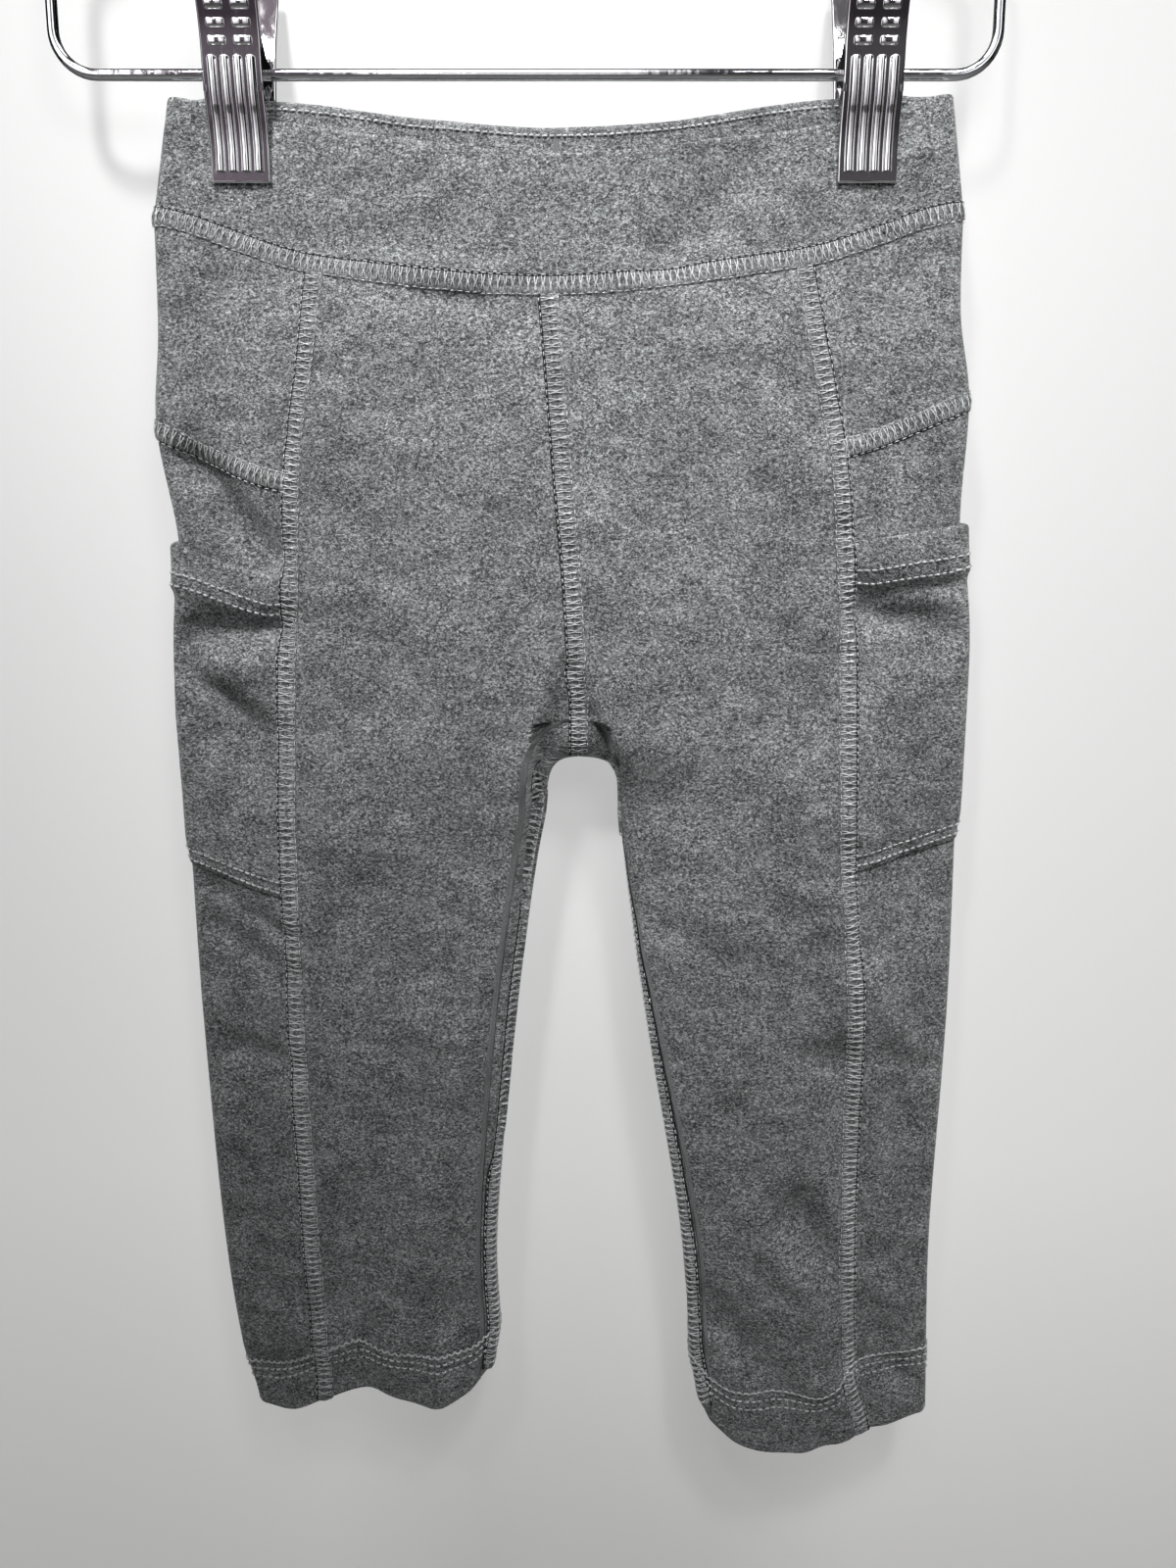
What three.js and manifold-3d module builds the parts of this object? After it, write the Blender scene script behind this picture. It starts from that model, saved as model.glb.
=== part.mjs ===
// A child's capri leggings hung by two clips from a wire hanger, in millimetres, +Z up.
// The origin is the point where the hook hangs. The front of the garment faces -Y,
// and the wearer's right is at -X.

import * as THREE from 'three';
import { mergeVertices } from 'three/addons/utils/BufferGeometryUtils.js';
import Module from 'manifold-3d';

const wasm = await Module();
wasm.setup();

// Cloth
const CLOTH = 1.2;
const HEM_CLOTH = 2.2;
const BAND_CLOTH = 2.2;
const POCKET_CLOTH = 1.2;
const POCKET_HEM_CLOTH = 2.0;
const SEAM_GAP = 0.3;

// Clips: where they hold the waistband, and how the cloth closes there
const CLIP_X = { right: -83.3, left: 99.5 };
const CLIP_TIP_Z = -180.4;
const PINCH_DEPTH = 2.4;
const PINCH_HALF_WIDTH = 9.5;
const PINCH_FADE_IN = 46;
const PINCH_FADE_OUT = 4.5;
const PINCH_FADE_DOWN = 52;

// Rows of the two halves, from the waist seam down. Columns ending in X or Z are places along the
// row; `steps` is the number of rows built before the next one; front and back are the depths of
// the two faces from the middle plane; fold is the radius of the outer fold. In the leg rows the
// centre is the inner fold, and inseam is the way along the cloth from it to the inseam.
const ROW_COLUMNS = ['name', 'steps', 'centreZ', 'seamZ', 'foldZ', 'backSeamZ', 'backZ',
  'centreX', 'seamX', 'foldX', 'backSeamX', 'front', 'back', 'fold', 'inseam'];
const ROWS = {
  right: [
    ['waist', 3, -210.2, -203.0, -188.9, -193, -198.5, 6.1, -62.7, -110.4, -66, 10.0, 9.5, 3.6, 0],
    ['hip', 3, -236.0, -232.0, -221.0, -222, -228.0, 8.2, -65.8, -111.1, -69, 11.5, 11.0, 4.4, 0],
    ['yoke', 3, -263.0, -266.3, -249.3, -241, -256.0, 10.3, -71.0, -113.2, -74, 12.5, 12.0, 4.8, 0],
    ['mouth', 3, -290.0, -294.8, -283.0, -275, -285.0, 12.6, -72.6, -108.4, -75, 13.0, 13.0, 4.6, 0],
    ['rise', 2, -318.0, -319.0, -314.0, -311, -314.0, 14.3, -74.7, -110.4, -77, 13.0, 13.0, 4.6, 0],
    ['crotch', 4, -338.2, -341.0, -337.0, -335, -338.0, 15.0, -75.8, -110.9, -78, 12.5, 12.5, 4.6, 0],
    ['thigh', 2, -368.0, -370.0, -363.0, -361, -368.0, 3.8, -76.1, -110.2, -78, 12.0, 12.0, 4.4, 8.0],
    ['pocket', 4, -392.0, -394.3, -383.5, -378, -391.0, -0.5, -76.4, -109.9, -78, 11.5, 11.5, 4.4, 8.0],
    ['knee', 4, -442.0, -442.0, -438.0, -438, -442.0, -7.0, -76.3, -109.0, -77, 10.5, 10.5, 4.2, 8.0],
    ['shin', 3, -512.0, -512.0, -511.0, -512, -512.0, -13.1, -74.8, -106.0, -75, 9.5, 9.5, 4.0, 7.4],
    ['hem', 2, -548.0, -552.0, -556.0, -553, -548.0, -12.4, -73.4, -101.6, -73, 9.0, 9.0, 3.8, 7.2],
    ['edge', 0, -563.0, -572.5, -577.0, -573, -562.0, -14.3, -72.3, -96.8, -72, 8.5, 8.5, 3.6, 7.2],
  ],
  left: [
    ['waist', 3, -210.2, -201.0, -187.5, -192, -198.5, 6.1, 81.6, 129.0, 84, 10.0, 9.5, 3.6, 0],
    ['hip', 3, -236.0, -230.0, -216.0, -217, -228.0, 8.2, 87.0, 129.7, 89, 11.5, 11.0, 4.4, 0],
    ['yoke', 3, -263.0, -256.5, -241.0, -233, -256.0, 10.3, 92.6, 133.5, 95, 12.5, 12.0, 4.8, 0],
    ['mouth', 3, -290.0, -283.5, -277.5, -271, -285.0, 12.6, 95.7, 132.6, 98, 13.0, 13.0, 4.6, 0],
    ['rise', 2, -318.0, -314.0, -309.0, -306, -314.0, 14.3, 98.0, 135.8, 100, 13.0, 13.0, 4.6, 0],
    ['crotch', 4, -338.2, -336.0, -332.0, -331, -338.0, 15.0, 98.7, 136.2, 101, 12.5, 12.5, 4.6, 0],
    ['thigh', 2, -368.0, -365.0, -360.0, -358, -368.0, 28.2, 98.9, 136.1, 101, 12.0, 12.0, 4.4, -2.0],
    ['pocket', 4, -392.0, -386.0, -375.5, -370, -391.0, 31.3, 99.9, 136.0, 102, 11.5, 11.5, 4.4, 0.5],
    ['knee', 4, -442.0, -441.0, -436.0, -436, -442.0, 38.5, 104.6, 136.4, 106, 10.5, 10.5, 4.2, 4.8],
    ['shin', 3, -512.0, -512.0, -511.0, -511, -512.0, 49.8, 105.4, 134.4, 107, 9.5, 9.5, 4.0, 7.0],
    ['hem', 2, -562.0, -566.0, -563.0, -562, -560.0, 53.5, 107.9, 135.6, 108, 9.5, 9.0, 4.0, 7.4],
    ['edge', 0, -574.0, -588.0, -580.5, -582, -576.0, 56.0, 113.0, 136.2, 112, 9.5, 9.0, 3.8, 7.4],
  ],
};

// Depth of the front and back seams at the centre, which lie in a shallow valley near the crotch
const CENTRE_COLUMNS = ['name', 'front', 'back'];
const CENTRE_DEPTHS = [
  ['waist', 10.0, 9.5],
  ['hip', 11.4, 11.0],
  ['yoke', 12.2, 12.0],
  ['mouth', 12.2, 12.6],
  ['rise', 10.6, 12.6],
  ['crotch', 7.0, 11.5],
];
const VALLEY_WIDTH = 11;
const CROTCH_BOTTOM_Z = -350.6;

// Below the crotch the cloth first runs across to the leg, then turns down it
const TURN_ACROSS = 2.6;
const TURN_DOWN = 1.7;
const TURN_SPREAD = 1.6;
const BRIDGE_ACROSS = 5;
const BRIDGE_SHARE = 0.68;

// The front hem edges, from the inner fold to the outer one
const HEM_COLUMNS = ['x', 'z'];
const HEM_EDGES = {
  right: [
    [-14.3, -563], [-23, -572], [-33, -575.5], [-45, -573],
    [-60, -569], [-72.3, -572.5], [-84, -578.3], [-96.8, -577],
  ],
  left: [
    [56, -576], [62, -586.5], [70, -591.5], [87, -593.2],
    [103, -590.5], [113, -586], [125, -582.5], [136.2, -580.5],
  ],
};

// The waistband's edges: each half is a row from centre front round the fold to centre back
const BAND_ROWS = {
  right: [
    ['top', 4, -173.5, -162.6, -156.1, -156.6, -161.6, 10.0, -74.5, -104.4, -74.5, 8.4, 8.0, 3.3, 0],
    ['waist', 0, -210.2, -203.0, -188.9, -193, -198.5, 6.1, -62.7, -110.4, -66, 10.0, 9.5, 3.6, 0],
  ],
  left: [
    ['top', 4, -173.5, -163.2, -155.3, -155.9, -161.6, 10.0, 90.6, 124.3, 90.6, 8.4, 8.0, 3.3, 0],
    ['waist', 0, -210.2, -201.0, -187.5, -192, -198.5, 6.1, 81.6, 129.0, 84, 10.0, 9.5, 3.6, 0],
  ],
};

// Large folds: soft troughs (positive depth) and ridges (negative) along a line on the front
const FOLD_COLUMNS = ['x1', 'z1', 'x2', 'z2', 'width', 'depth'];
const FOLDS = [
  [-103, -259, -80, -286, 5.5, 1.3],
  [-105, -322, -80, -351, 6.5, 2.0],
  [-104, -404, -78, -420, 5.5, 1.6],
  [-98, -397, -78, -402, 5.0, -1.0],
  [104, -297, 128, -296, 5.0, 1.2],
  [110, -420, 122, -444, 7.0, -1.6],
  [118, -446, 127, -452, 5.5, 1.3],
  [66, -165, 33, -200, 7.0, 1.5],
  [-96, -563, -66, -566, 5.0, 1.0],
  [-60, -548, -56, -575, 5.0, 1.2],
  [-32, -552, -34, -574, 5.0, -1.2],
  [60, -560, 66, -588, 4.5, 1.4],
  [96, -566, 92, -592, 6.0, -1.2],
  [112, -560, 115, -586, 4.5, 1.5],
];

// Columns of the grid, counted from centre front round to centre back and on to the inseam
const FRONT_STEPS = 7;
const SIDE_STEPS = 3;
const FOLD_STEPS = 2;
const BACK_STEPS = 6;
const INNER_STEPS = 6;
const BAND_STEPS = 9;
const GRIP_STEPS = 2;

const HALVES = { right: -1, left: 1 };
const SEAM = FRONT_STEPS;
const BACK_SEAM = SEAM + 2 * (SIDE_STEPS + FOLD_STEPS);
const CENTRE_BACK = BACK_SEAM + BACK_STEPS;
const INSEAM = CENTRE_BACK + INNER_STEPS;

function named(columns, rows) {
  return rows.map((row) => Object.fromEntries(columns.map((column, i) => [column, row[i]])));
}

function mix(a, b, part) {
  return a + (b - a) * part;
}

function smooth(low, high, value) {
  const part = Math.min(1, Math.max(0, (value - low) / (high - low)));
  return part * part * (3 - 2 * part);
}

// A smooth curve through the values at rising knots, level at both ends
function through(knots, values, at) {
  const last = knots.length - 1;
  const slope = knots.map((knot, i) => (i === 0 || i === last ? 0
    : (values[i + 1] - values[i - 1]) / (knots[i + 1] - knots[i - 1])));
  let i = 0;
  while (i < last - 1 && at > knots[i + 1]) i += 1;
  const span = knots[i + 1] - knots[i];
  const t = Math.min(1, Math.max(0, (at - knots[i]) / span));
  return values[i] * (1 + 2 * t) * (1 - t) ** 2 + values[i + 1] * t * t * (3 - 2 * t)
    + span * (slope[i] * t * (1 - t) ** 2 - slope[i + 1] * t * t * (1 - t));
}

// The rows between two table rows follow a smooth curve through four of them
function rowBetween(rows, index, part) {
  const at = (i) => rows[Math.min(rows.length - 1, Math.max(0, i))];
  const around = [at(index - 1), at(index), at(index + 1), at(index + 2)];
  const row = { name: rows[index].name };
  for (const column of ROW_COLUMNS.slice(2)) {
    const [before, here, next, after] = around.map((each) => each[column]);
    const leave = (next - before) / 2;
    const arrive = (after - here) / 2;
    row[column] = here * (1 + 2 * part) * (1 - part) ** 2 + next * part * part * (3 - 2 * part)
      + leave * part * (1 - part) ** 2 - arrive * part * part * (1 - part);
  }
  return row;
}

function spread(from, to, steps) {
  return Array.from({ length: steps }, (_, i) => mix(from, to, i / steps));
}

// How far a face stands from the middle plane, `inward` from the fold
function faceDepth(inward, radius, depth, halfWidth) {
  if (inward < radius) return Math.sqrt(Math.max(0, radius ** 2 - (radius - inward) ** 2));
  const across = (inward - radius) / (halfWidth - radius);
  return radius + (depth - radius) * Math.sin(across * Math.PI / 2);
}

// The clips press the two faces together, and let go of them downwards
function pinch(x, z) {
  let closed = 0;
  for (const [half, side] of Object.entries(HALVES)) {
    const outward = (x - CLIP_X[half]) * side;
    const fade = outward > 0 ? PINCH_FADE_OUT : PINCH_FADE_IN;
    const across = 1 - smooth(PINCH_HALF_WIDTH, PINCH_HALF_WIDTH + fade, Math.abs(outward));
    const down = 1 - smooth(0, PINCH_FADE_DOWN, CLIP_TIP_Z - 2 - z);
    closed = Math.max(closed, across * down);
  }
  return closed;
}

function foldDepth(x, z) {
  let total = 0;
  for (const fold of named(FOLD_COLUMNS, FOLDS)) {
    const run = [fold.x2 - fold.x1, fold.z2 - fold.z1];
    const along = ((x - fold.x1) * run[0] + (z - fold.z1) * run[1]) / (run[0] ** 2 + run[1] ** 2);
    const on = Math.min(1, Math.max(0, along));
    const away = Math.hypot(x - fold.x1 - on * run[0], z - fold.z1 - on * run[1]);
    total += fold.depth * Math.exp(-((away / fold.width) ** 2));
  }
  return total;
}

// Cloth length from the fold to a place `inward` of it
function lengthTo(inward, radius) {
  return inward + radius * (Math.PI / 2 - 1);
}

function inwardAt(length, radius) {
  const quarter = radius * Math.PI / 2;
  return length < quarter ? radius * (1 - Math.cos(length / radius)) : length - quarter + radius;
}

// One row of points. Lengths run from 0 at the outer fold, positive on the front.
function rowPoints(row, half, halfWidth, lengths, knots) {
  const side = HALVES[half];
  const around = 2 * (Math.PI * row.fold + 2 * (halfWidth - row.fold));
  const heights = [row.centreZ, row.seamZ, row.foldZ, row.backSeamZ, row.backZ];
  if (knots.length > heights.length) heights.push(row.centreZ);
  return lengths.map((length) => {
    const turned = length < -around / 2 ? length + around : length;
    const inward = Math.abs(turned) > around / 4
      ? 2 * halfWidth - inwardAt(around / 2 - Math.abs(turned), row.fold)
      : inwardAt(Math.abs(turned), row.fold);
    const fromFold = Math.min(inward, 2 * halfWidth - inward);
    const depth = turned > 0 ? row.front : row.back;
    const x = row.foldX - side * inward;
    const z = through(knots, heights, -length);
    return { x, y: faceDepth(fromFold, row.fold, depth, halfWidth) * (turned > 0 ? -1 : 1), z };
  });
}

function bodyRow(row, half, halfWidth) {
  const quarter = row.fold * Math.PI / 2;
  const to = (x) => lengthTo(Math.abs(row.foldX - x), row.fold);
  const stops = [to(row.centreX), to(row.seamX), quarter, 0, -quarter, -to(row.backSeamX),
    -to(row.centreX)];
  const counts = [FRONT_STEPS, SIDE_STEPS, FOLD_STEPS, FOLD_STEPS, SIDE_STEPS, BACK_STEPS];
  const lengths = counts.flatMap((count, i) => spread(stops[i], stops[i + 1], count));
  lengths.push(stops[stops.length - 1]);
  const knots = [-stops[0], -stops[1], 0, -stops[5], -stops[6]];
  return rowPoints(row, half, halfWidth, lengths, knots);
}

// The waistband has columns of its own, with one at each side of the clip's grip
function bandRow(row, half, halfWidth) {
  const side = HALVES[half];
  const quarter = row.fold * Math.PI / 2;
  const to = (x) => lengthTo(Math.abs(row.foldX - x), row.fold);
  const grip = [-1, 1].map((hand) => to(CLIP_X[half] + hand * side * PINCH_HALF_WIDTH));
  const centre = to(row.centreX);
  const front = [centre, grip[0], grip[1], quarter, 0];
  const counts = [BAND_STEPS, GRIP_STEPS, 1, FOLD_STEPS];
  const lengths = counts.flatMap((count, i) => spread(front[i], front[i + 1], count));
  const back = lengths.map((length) => -length).reverse();
  const knots = [-centre, -to(row.seamX), 0, to(row.backSeamX), centre];
  return rowPoints(row, half, halfWidth, [...lengths, 0, ...back], knots);
}

function legRow(row, half) {
  const halfWidth = Math.abs(row.foldX - row.centreX) / 2;
  const quarter = row.fold * Math.PI / 2;
  const whole = Math.PI * row.fold + 2 * (halfWidth - row.fold);
  const to = (x) => lengthTo(Math.abs(row.foldX - x), row.fold);
  const stops = [whole - row.inseam, to(row.seamX), quarter, 0, -quarter, -to(row.backSeamX),
    -(whole - quarter), -(whole + row.inseam)];
  const counts = [FRONT_STEPS, SIDE_STEPS, FOLD_STEPS, FOLD_STEPS, SIDE_STEPS, BACK_STEPS,
    INNER_STEPS];
  const lengths = counts.flatMap((count, i) => spread(stops[i], stops[i + 1], count));
  lengths.push(stops[stops.length - 1]);
  const knots = [-stops[0], -stops[1], 0, -stops[5], -stops[6], -stops[7]];
  return rowPoints(row, half, halfWidth, lengths, knots);
}

// Valley at the centre seams, the clips' grip and the folds, added to a body row
function shapeBodyRow(points, row, centre) {
  const shaped = points.map(({ x, y, z }) => {
    const front = y < 0;
    const full = front ? row.front : row.back;
    const valley = (full - (front ? centre.front : centre.back))
      * Math.exp(-(((x - row.centreX) / VALLEY_WIDTH) ** 2));
    const lifted = y + (front ? valley + foldDepth(x, z) : -valley);
    const closed = pinch(x, z);
    const depth = Math.min(Math.abs(y), PINCH_DEPTH);
    return { x, y: mix(lifted, Math.sign(y) * depth, closed), z };
  });
  return shaped;
}

// The grid of one half: `rows` holds arrays of points, and `marks` the row of each named level
function halfGrid(half) {
  const rows = named(ROW_COLUMNS, ROWS[half]);
  const other = named(ROW_COLUMNS, ROWS[half === 'right' ? 'left' : 'right']);
  const centres = named(CENTRE_COLUMNS, CENTRE_DEPTHS);
  const crotch = rows.findIndex((row) => row.name === 'crotch');
  const grid = [];
  const marks = {};
  const bodyAt = (index, part) => {
    const row = rowBetween(rows.slice(0, crotch + 1), index, part);
    const twin = rowBetween(other.slice(0, crotch + 1), index, part);
    const next = centres[Math.min(crotch, index + 1)];
    const centre = {
      front: mix(centres[index].front, next.front, part),
      back: mix(centres[index].back, next.back, part),
    };
    const halfWidth = Math.abs(row.foldX - twin.foldX) / 2;
    const points = shapeBodyRow(bodyRow(row, half, halfWidth), row, centre);
    points[0] = { x: row.centreX, y: -centre.front, z: row.centreZ };
    points[CENTRE_BACK] = { x: row.centreX, y: centre.back, z: row.backZ };
    return points;
  };
  for (let index = 0; index < crotch; index += 1) {
    marks[rows[index].name] = grid.length;
    for (let step = 0; step < rows[index].steps; step += 1) {
      grid.push(bodyAt(index, step / rows[index].steps));
    }
  }
  // The top of the leg: the body's half row, closed by the curve under the crotch
  const ring = bodyAt(crotch, 0);
  const [centreFront, centreBack] = [ring[0], ring[CENTRE_BACK]];
  for (let step = 1; step <= INNER_STEPS; step += 1) {
    const turn = Math.PI * step / INNER_STEPS;
    const part = (1 - Math.cos(turn)) / 2;
    const floor = mix(centreBack.z, centreFront.z, part);
    ring.push({
      x: centreFront.x,
      y: mix(centreBack.y, centreFront.y, part),
      z: mix(floor, CROTCH_BOTTOM_Z, Math.sin(turn)),
    });
  }
  marks.crotch = grid.length;
  const edge = named(HEM_COLUMNS, HEM_EDGES[half]).sort((a, b) => a.x - b.x);
  const legRows = rows.slice(crotch + 1);
  const legAt = (index, part) => {
    const row = rowBetween(legRows, index, part);
    const hemPart = legRows[index].name === 'hem' ? part : Number(legRows[index].name === 'edge');
    return legRow(row, half).map(({ x, y, z }) => {
      const wave = through(edge.map((each) => each.x), edge.map((each) => each.z), x);
      const front = y < 0;
      return {
        x,
        y: y + (front ? foldDepth(x, z) : 0) * smooth(0, 6, Math.abs(y)),
        z: front ? mix(z, wave, hemPart * hemPart * smooth(0, 3, -y)) : z,
      };
    });
  };
  const thigh = legAt(0, 0);
  const count = rows[crotch].steps;
  for (let step = 0; step < count; step += 1) {
    const part = step / count;
    grid.push(ring.map((from, column) => {
      const to = thigh[column];
      const beyond = column > CENTRE_BACK ? 1
        : Math.max(1 - column / SEAM, (column - BACK_SEAM) / BACK_STEPS);
      const turn = smooth(0, 1, beyond) ** TURN_SPREAD;
      const under = Math.sin(Math.PI * Math.max(0, column - CENTRE_BACK) / INNER_STEPS);
      const bridge = mix(part, 1 - (1 - part) ** BRIDGE_ACROSS, BRIDGE_SHARE);
      const across = mix(mix(part, 1 - (1 - part) ** TURN_ACROSS, turn), bridge, under);
      const down = mix(part, part ** TURN_DOWN, turn);
      return {
        x: mix(from.x, to.x, across),
        y: mix(from.y, to.y, smooth(0, 1, part)),
        z: mix(from.z, to.z, down),
      };
    }));
  }
  legRows.forEach((row, index) => {
    marks[row.name] = grid.length;
    for (let step = 0; step < Math.max(1, row.steps); step += 1) {
      grid.push(legAt(index, row.steps ? step / row.steps : 0));
    }
  });
  return { grid, marks };
}

// A cloth surface collects quads between shared points, so that normals run on across a seam
class Surface {
  constructor() {
    this.points = [];
    this.normals = [];
    this.ids = new Map();
    this.thickness = [];
  }

  id({ x, y, z }, thickness) {
    const key = [x, y, z].map((value) => Math.round(value * 1e4)).join();
    if (!this.ids.has(key)) {
      this.ids.set(key, this.points.length);
      this.points.push(new THREE.Vector3(x, y, z));
      this.normals.push(new THREE.Vector3());
      this.thickness.push(thickness);
    }
    return this.ids.get(key);
  }

  // Faces look out when the quad's corners run round it anticlockwise, seen from outside
  addNormals(quads) {
    for (const [a, b, c, d] of quads) {
      const across = this.points[c].clone().sub(this.points[a]);
      const up = this.points[d].clone().sub(this.points[b]);
      const normal = across.cross(up);
      for (const id of [a, b, c, d]) this.normals[id].add(normal);
    }
  }

  finishNormals() {
    for (const normal of this.normals) normal.normalize();
  }
}

function gridQuads(surface, grid, half, rowFrom, rowTo, columnFrom, columnTo, thicknessAt) {
  const quads = [];
  for (let row = rowFrom; row < rowTo; row += 1) {
    for (let column = columnFrom; column < columnTo; column += 1) {
      const corners = [[row, column], [row + 1, column], [row + 1, column + 1], [row, column + 1]]
        .map(([r, c]) => surface.id(grid[r][c], thicknessAt(r)));
      quads.push(HALVES[half] > 0 ? corners : corners.reverse());
    }
  }
  return quads;
}

// A closed wall from quads: outer points, inner points along the normals, and a rim at each edge.
// The rim stands back from a seam by half of the gap there.
function wall(surface, quads, { lift = 0, thickness = null, gap = SEAM_GAP / 2 } = {}) {
  const edges = new Map();
  for (const quad of quads) {
    quad.forEach((from, i) => {
      const to = quad[(i + 1) % 4];
      if (from === to) return;
      const back = `${to},${from}`;
      if (edges.has(back)) edges.delete(back);
      else edges.set(`${from},${to}`, [from, to]);
    });
  }
  const inward = new Map();
  for (const [from, to] of edges.values()) {
    const along = surface.points[to].clone().sub(surface.points[from]).normalize();
    for (const id of [from, to]) {
      const into = surface.normals[id].clone().cross(along).normalize();
      inward.set(id, [...(inward.get(id) ?? []), into]);
    }
  }
  const used = [...new Set(quads.flat())];
  const index = new Map(used.map((id, i) => [id, i]));
  const positions = [];
  for (const layer of [0, 1]) {
    for (const id of used) {
      const point = surface.points[id].clone();
      const directions = inward.get(id) ?? [];
      if (directions.length) {
        const sum = directions.reduce((a, b) => a.clone().add(b), new THREE.Vector3());
        const share = directions.length === 1 ? 1 : 1 + Math.max(-0.5, directions[0].dot(directions[1]));
        point.addScaledVector(sum, gap / share);
      }
      const deep = thickness ? thickness(id) : surface.thickness[id];
      const out = layer === 0 ? lift + (thickness ? deep : 0) : lift - (thickness ? 0 : deep);
      point.addScaledVector(surface.normals[id], out);
      positions.push(point.x, point.y, point.z);
    }
  }
  const triangles = [];
  const face = (a, b, c) => {
    if (a !== b && b !== c && a !== c) triangles.push(a, b, c);
  };
  for (const quad of quads) {
    const [a, b, c, d] = quad.map((id) => index.get(id));
    const n = used.length;
    face(a, b, c);
    face(a, c, d);
    face(n + a, n + c, n + b);
    face(n + a, n + d, n + c);
  }
  for (const [from, to] of edges.values()) {
    const [a, b] = [index.get(from), index.get(to)];
    const n = used.length;
    face(b, a, n + a);
    face(b, n + a, n + b);
  }
  const geometry = new THREE.BufferGeometry();
  geometry.setAttribute('position', new THREE.Float32BufferAttribute(positions, 3));
  geometry.setIndex(triangles);
  return geometry;
}

const JERSEY = new THREE.MeshStandardMaterial({ color: 0x6f7577, roughness: 0.95, metalness: 0 });
const CHROME = new THREE.MeshStandardMaterial({ color: 0xc9ccd0, roughness: 0.12, metalness: 1 });
const SPRING_STEEL = new THREE.MeshStandardMaterial({ color: 0x9a9da0, roughness: 0.3, metalness: 1 });

const group = new THREE.Group();

function addPart(name, geometry, material) {
  const mesh = new THREE.Mesh(geometry, material);
  mesh.name = name;
  group.add(mesh);
  return mesh;
}

// Cloth panels
function addPanels() {
  const surface = new Surface();
  const panels = [];
  for (const half of Object.keys(HALVES)) {
    const { grid, marks } = halfGrid(half);
    const last = grid.length - 1;
    const thicknessAt = (row) => (row > marks.hem ? HEM_CLOTH : CLOTH);
    const part = (...range) => gridQuads(surface, grid, half, ...range, thicknessAt);
    panels.push({
      half,
      marks,
      grid,
      front: part(0, last, 0, SEAM),
      yoke: part(0, marks.yoke, SEAM, BACK_SEAM),
      side: part(marks.yoke, last, SEAM, BACK_SEAM),
      back: [
        ...part(0, marks.crotch, BACK_SEAM, CENTRE_BACK),
        ...part(marks.crotch, last, BACK_SEAM, INSEAM),
      ],
      pocket: part(marks.mouth, marks.pocket, SEAM, BACK_SEAM),
    });
  }
  for (const panel of panels) {
    for (const name of ['front', 'yoke', 'side', 'back']) surface.addNormals(panel[name]);
  }
  surface.finishNormals();
  // Along the waist seam the edges stand level, so that the waistband's edge faces them
  for (const { grid } of panels) {
    for (const point of grid[0]) surface.normals[surface.id(point, CLOTH)].setZ(0).normalize();
  }
  for (const panel of panels) {
    for (const name of ['front', 'yoke', 'side', 'back']) {
      addPart(`${name}_${panel.half}`, wall(surface, panel[name]), JERSEY);
    }
    const mouth = panel.marks.mouth;
    const hem = new Set(panel.grid.slice(mouth, mouth + 2)
      .flatMap((row) => row.slice(SEAM, BACK_SEAM + 1))
      .map((point) => surface.id(point, CLOTH)));
    const thickness = (id) => (hem.has(id) ? POCKET_HEM_CLOTH : POCKET_CLOTH);
    const pocket = wall(surface, panel.pocket, { lift: SEAM_GAP, thickness, gap: 0.5 });
    addPart(`pocket_${panel.half}`, pocket, JERSEY);
  }
}

// The waistband is one ring, so its two halves share their centre points
function addWaistband() {
  const surface = new Surface();
  const quads = [];
  const edges = [];
  for (const half of Object.keys(HALVES)) {
    const rows = named(ROW_COLUMNS, BAND_ROWS[half]);
    const twins = named(ROW_COLUMNS, BAND_ROWS[half === 'right' ? 'left' : 'right']);
    const grid = [];
    for (let step = 0; step <= rows[0].steps; step += 1) {
      const part = step / rows[0].steps;
      const row = {};
      for (const column of ROW_COLUMNS.slice(2)) row[column] = mix(rows[0][column], rows[1][column], part);
      const halfWidth = Math.abs(row.foldX - mix(twins[0].foldX, twins[1].foldX, part)) / 2;
      const points = shapeBodyRow(bandRow(row, half, halfWidth), row, row);
      points[0] = { x: row.centreX, y: -row.front, z: row.centreZ };
      points[points.length - 1] = { x: row.centreX, y: row.back, z: row.backZ };
      grid.push(points);
    }
    quads.push(...gridQuads(surface, grid, half, 0, grid.length - 1, 0, grid[0].length - 1,
      () => BAND_CLOTH));
    edges.push(grid[0], grid[grid.length - 1]);
  }
  surface.addNormals(quads);
  surface.finishNormals();
  for (const point of edges.flat()) surface.normals[surface.id(point, BAND_CLOTH)].setZ(0).normalize();
  addPart('waistband', wall(surface, quads), JERSEY);
}

// Hanger
const WIRE = 1.6;
const WIRE_SIDES = 12;
const BAR_Z = -150;
const FRAME_HALF = 136.7;
const CORNER = 12;
const SHOULDER_Z = -106;
const SHOULDER_SLOPE = THREE.MathUtils.degToRad(16);
const NECK_TOP_Z = -56;
const NECK_BOTTOM_Z = -72;
const NECK_RADIUS = 4;
const HOOK_INNER = 20;
const HOOK_BEND = 14;

function arc(centreX, centreZ, radius, fromDegrees, toDegrees, steps) {
  return Array.from({ length: steps + 1 }, (_, i) => {
    const angle = THREE.MathUtils.degToRad(mix(fromDegrees, toDegrees, i / steps));
    return new THREE.Vector3(centreX + radius * Math.cos(angle), 0, centreZ + radius * Math.sin(angle));
  });
}

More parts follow.
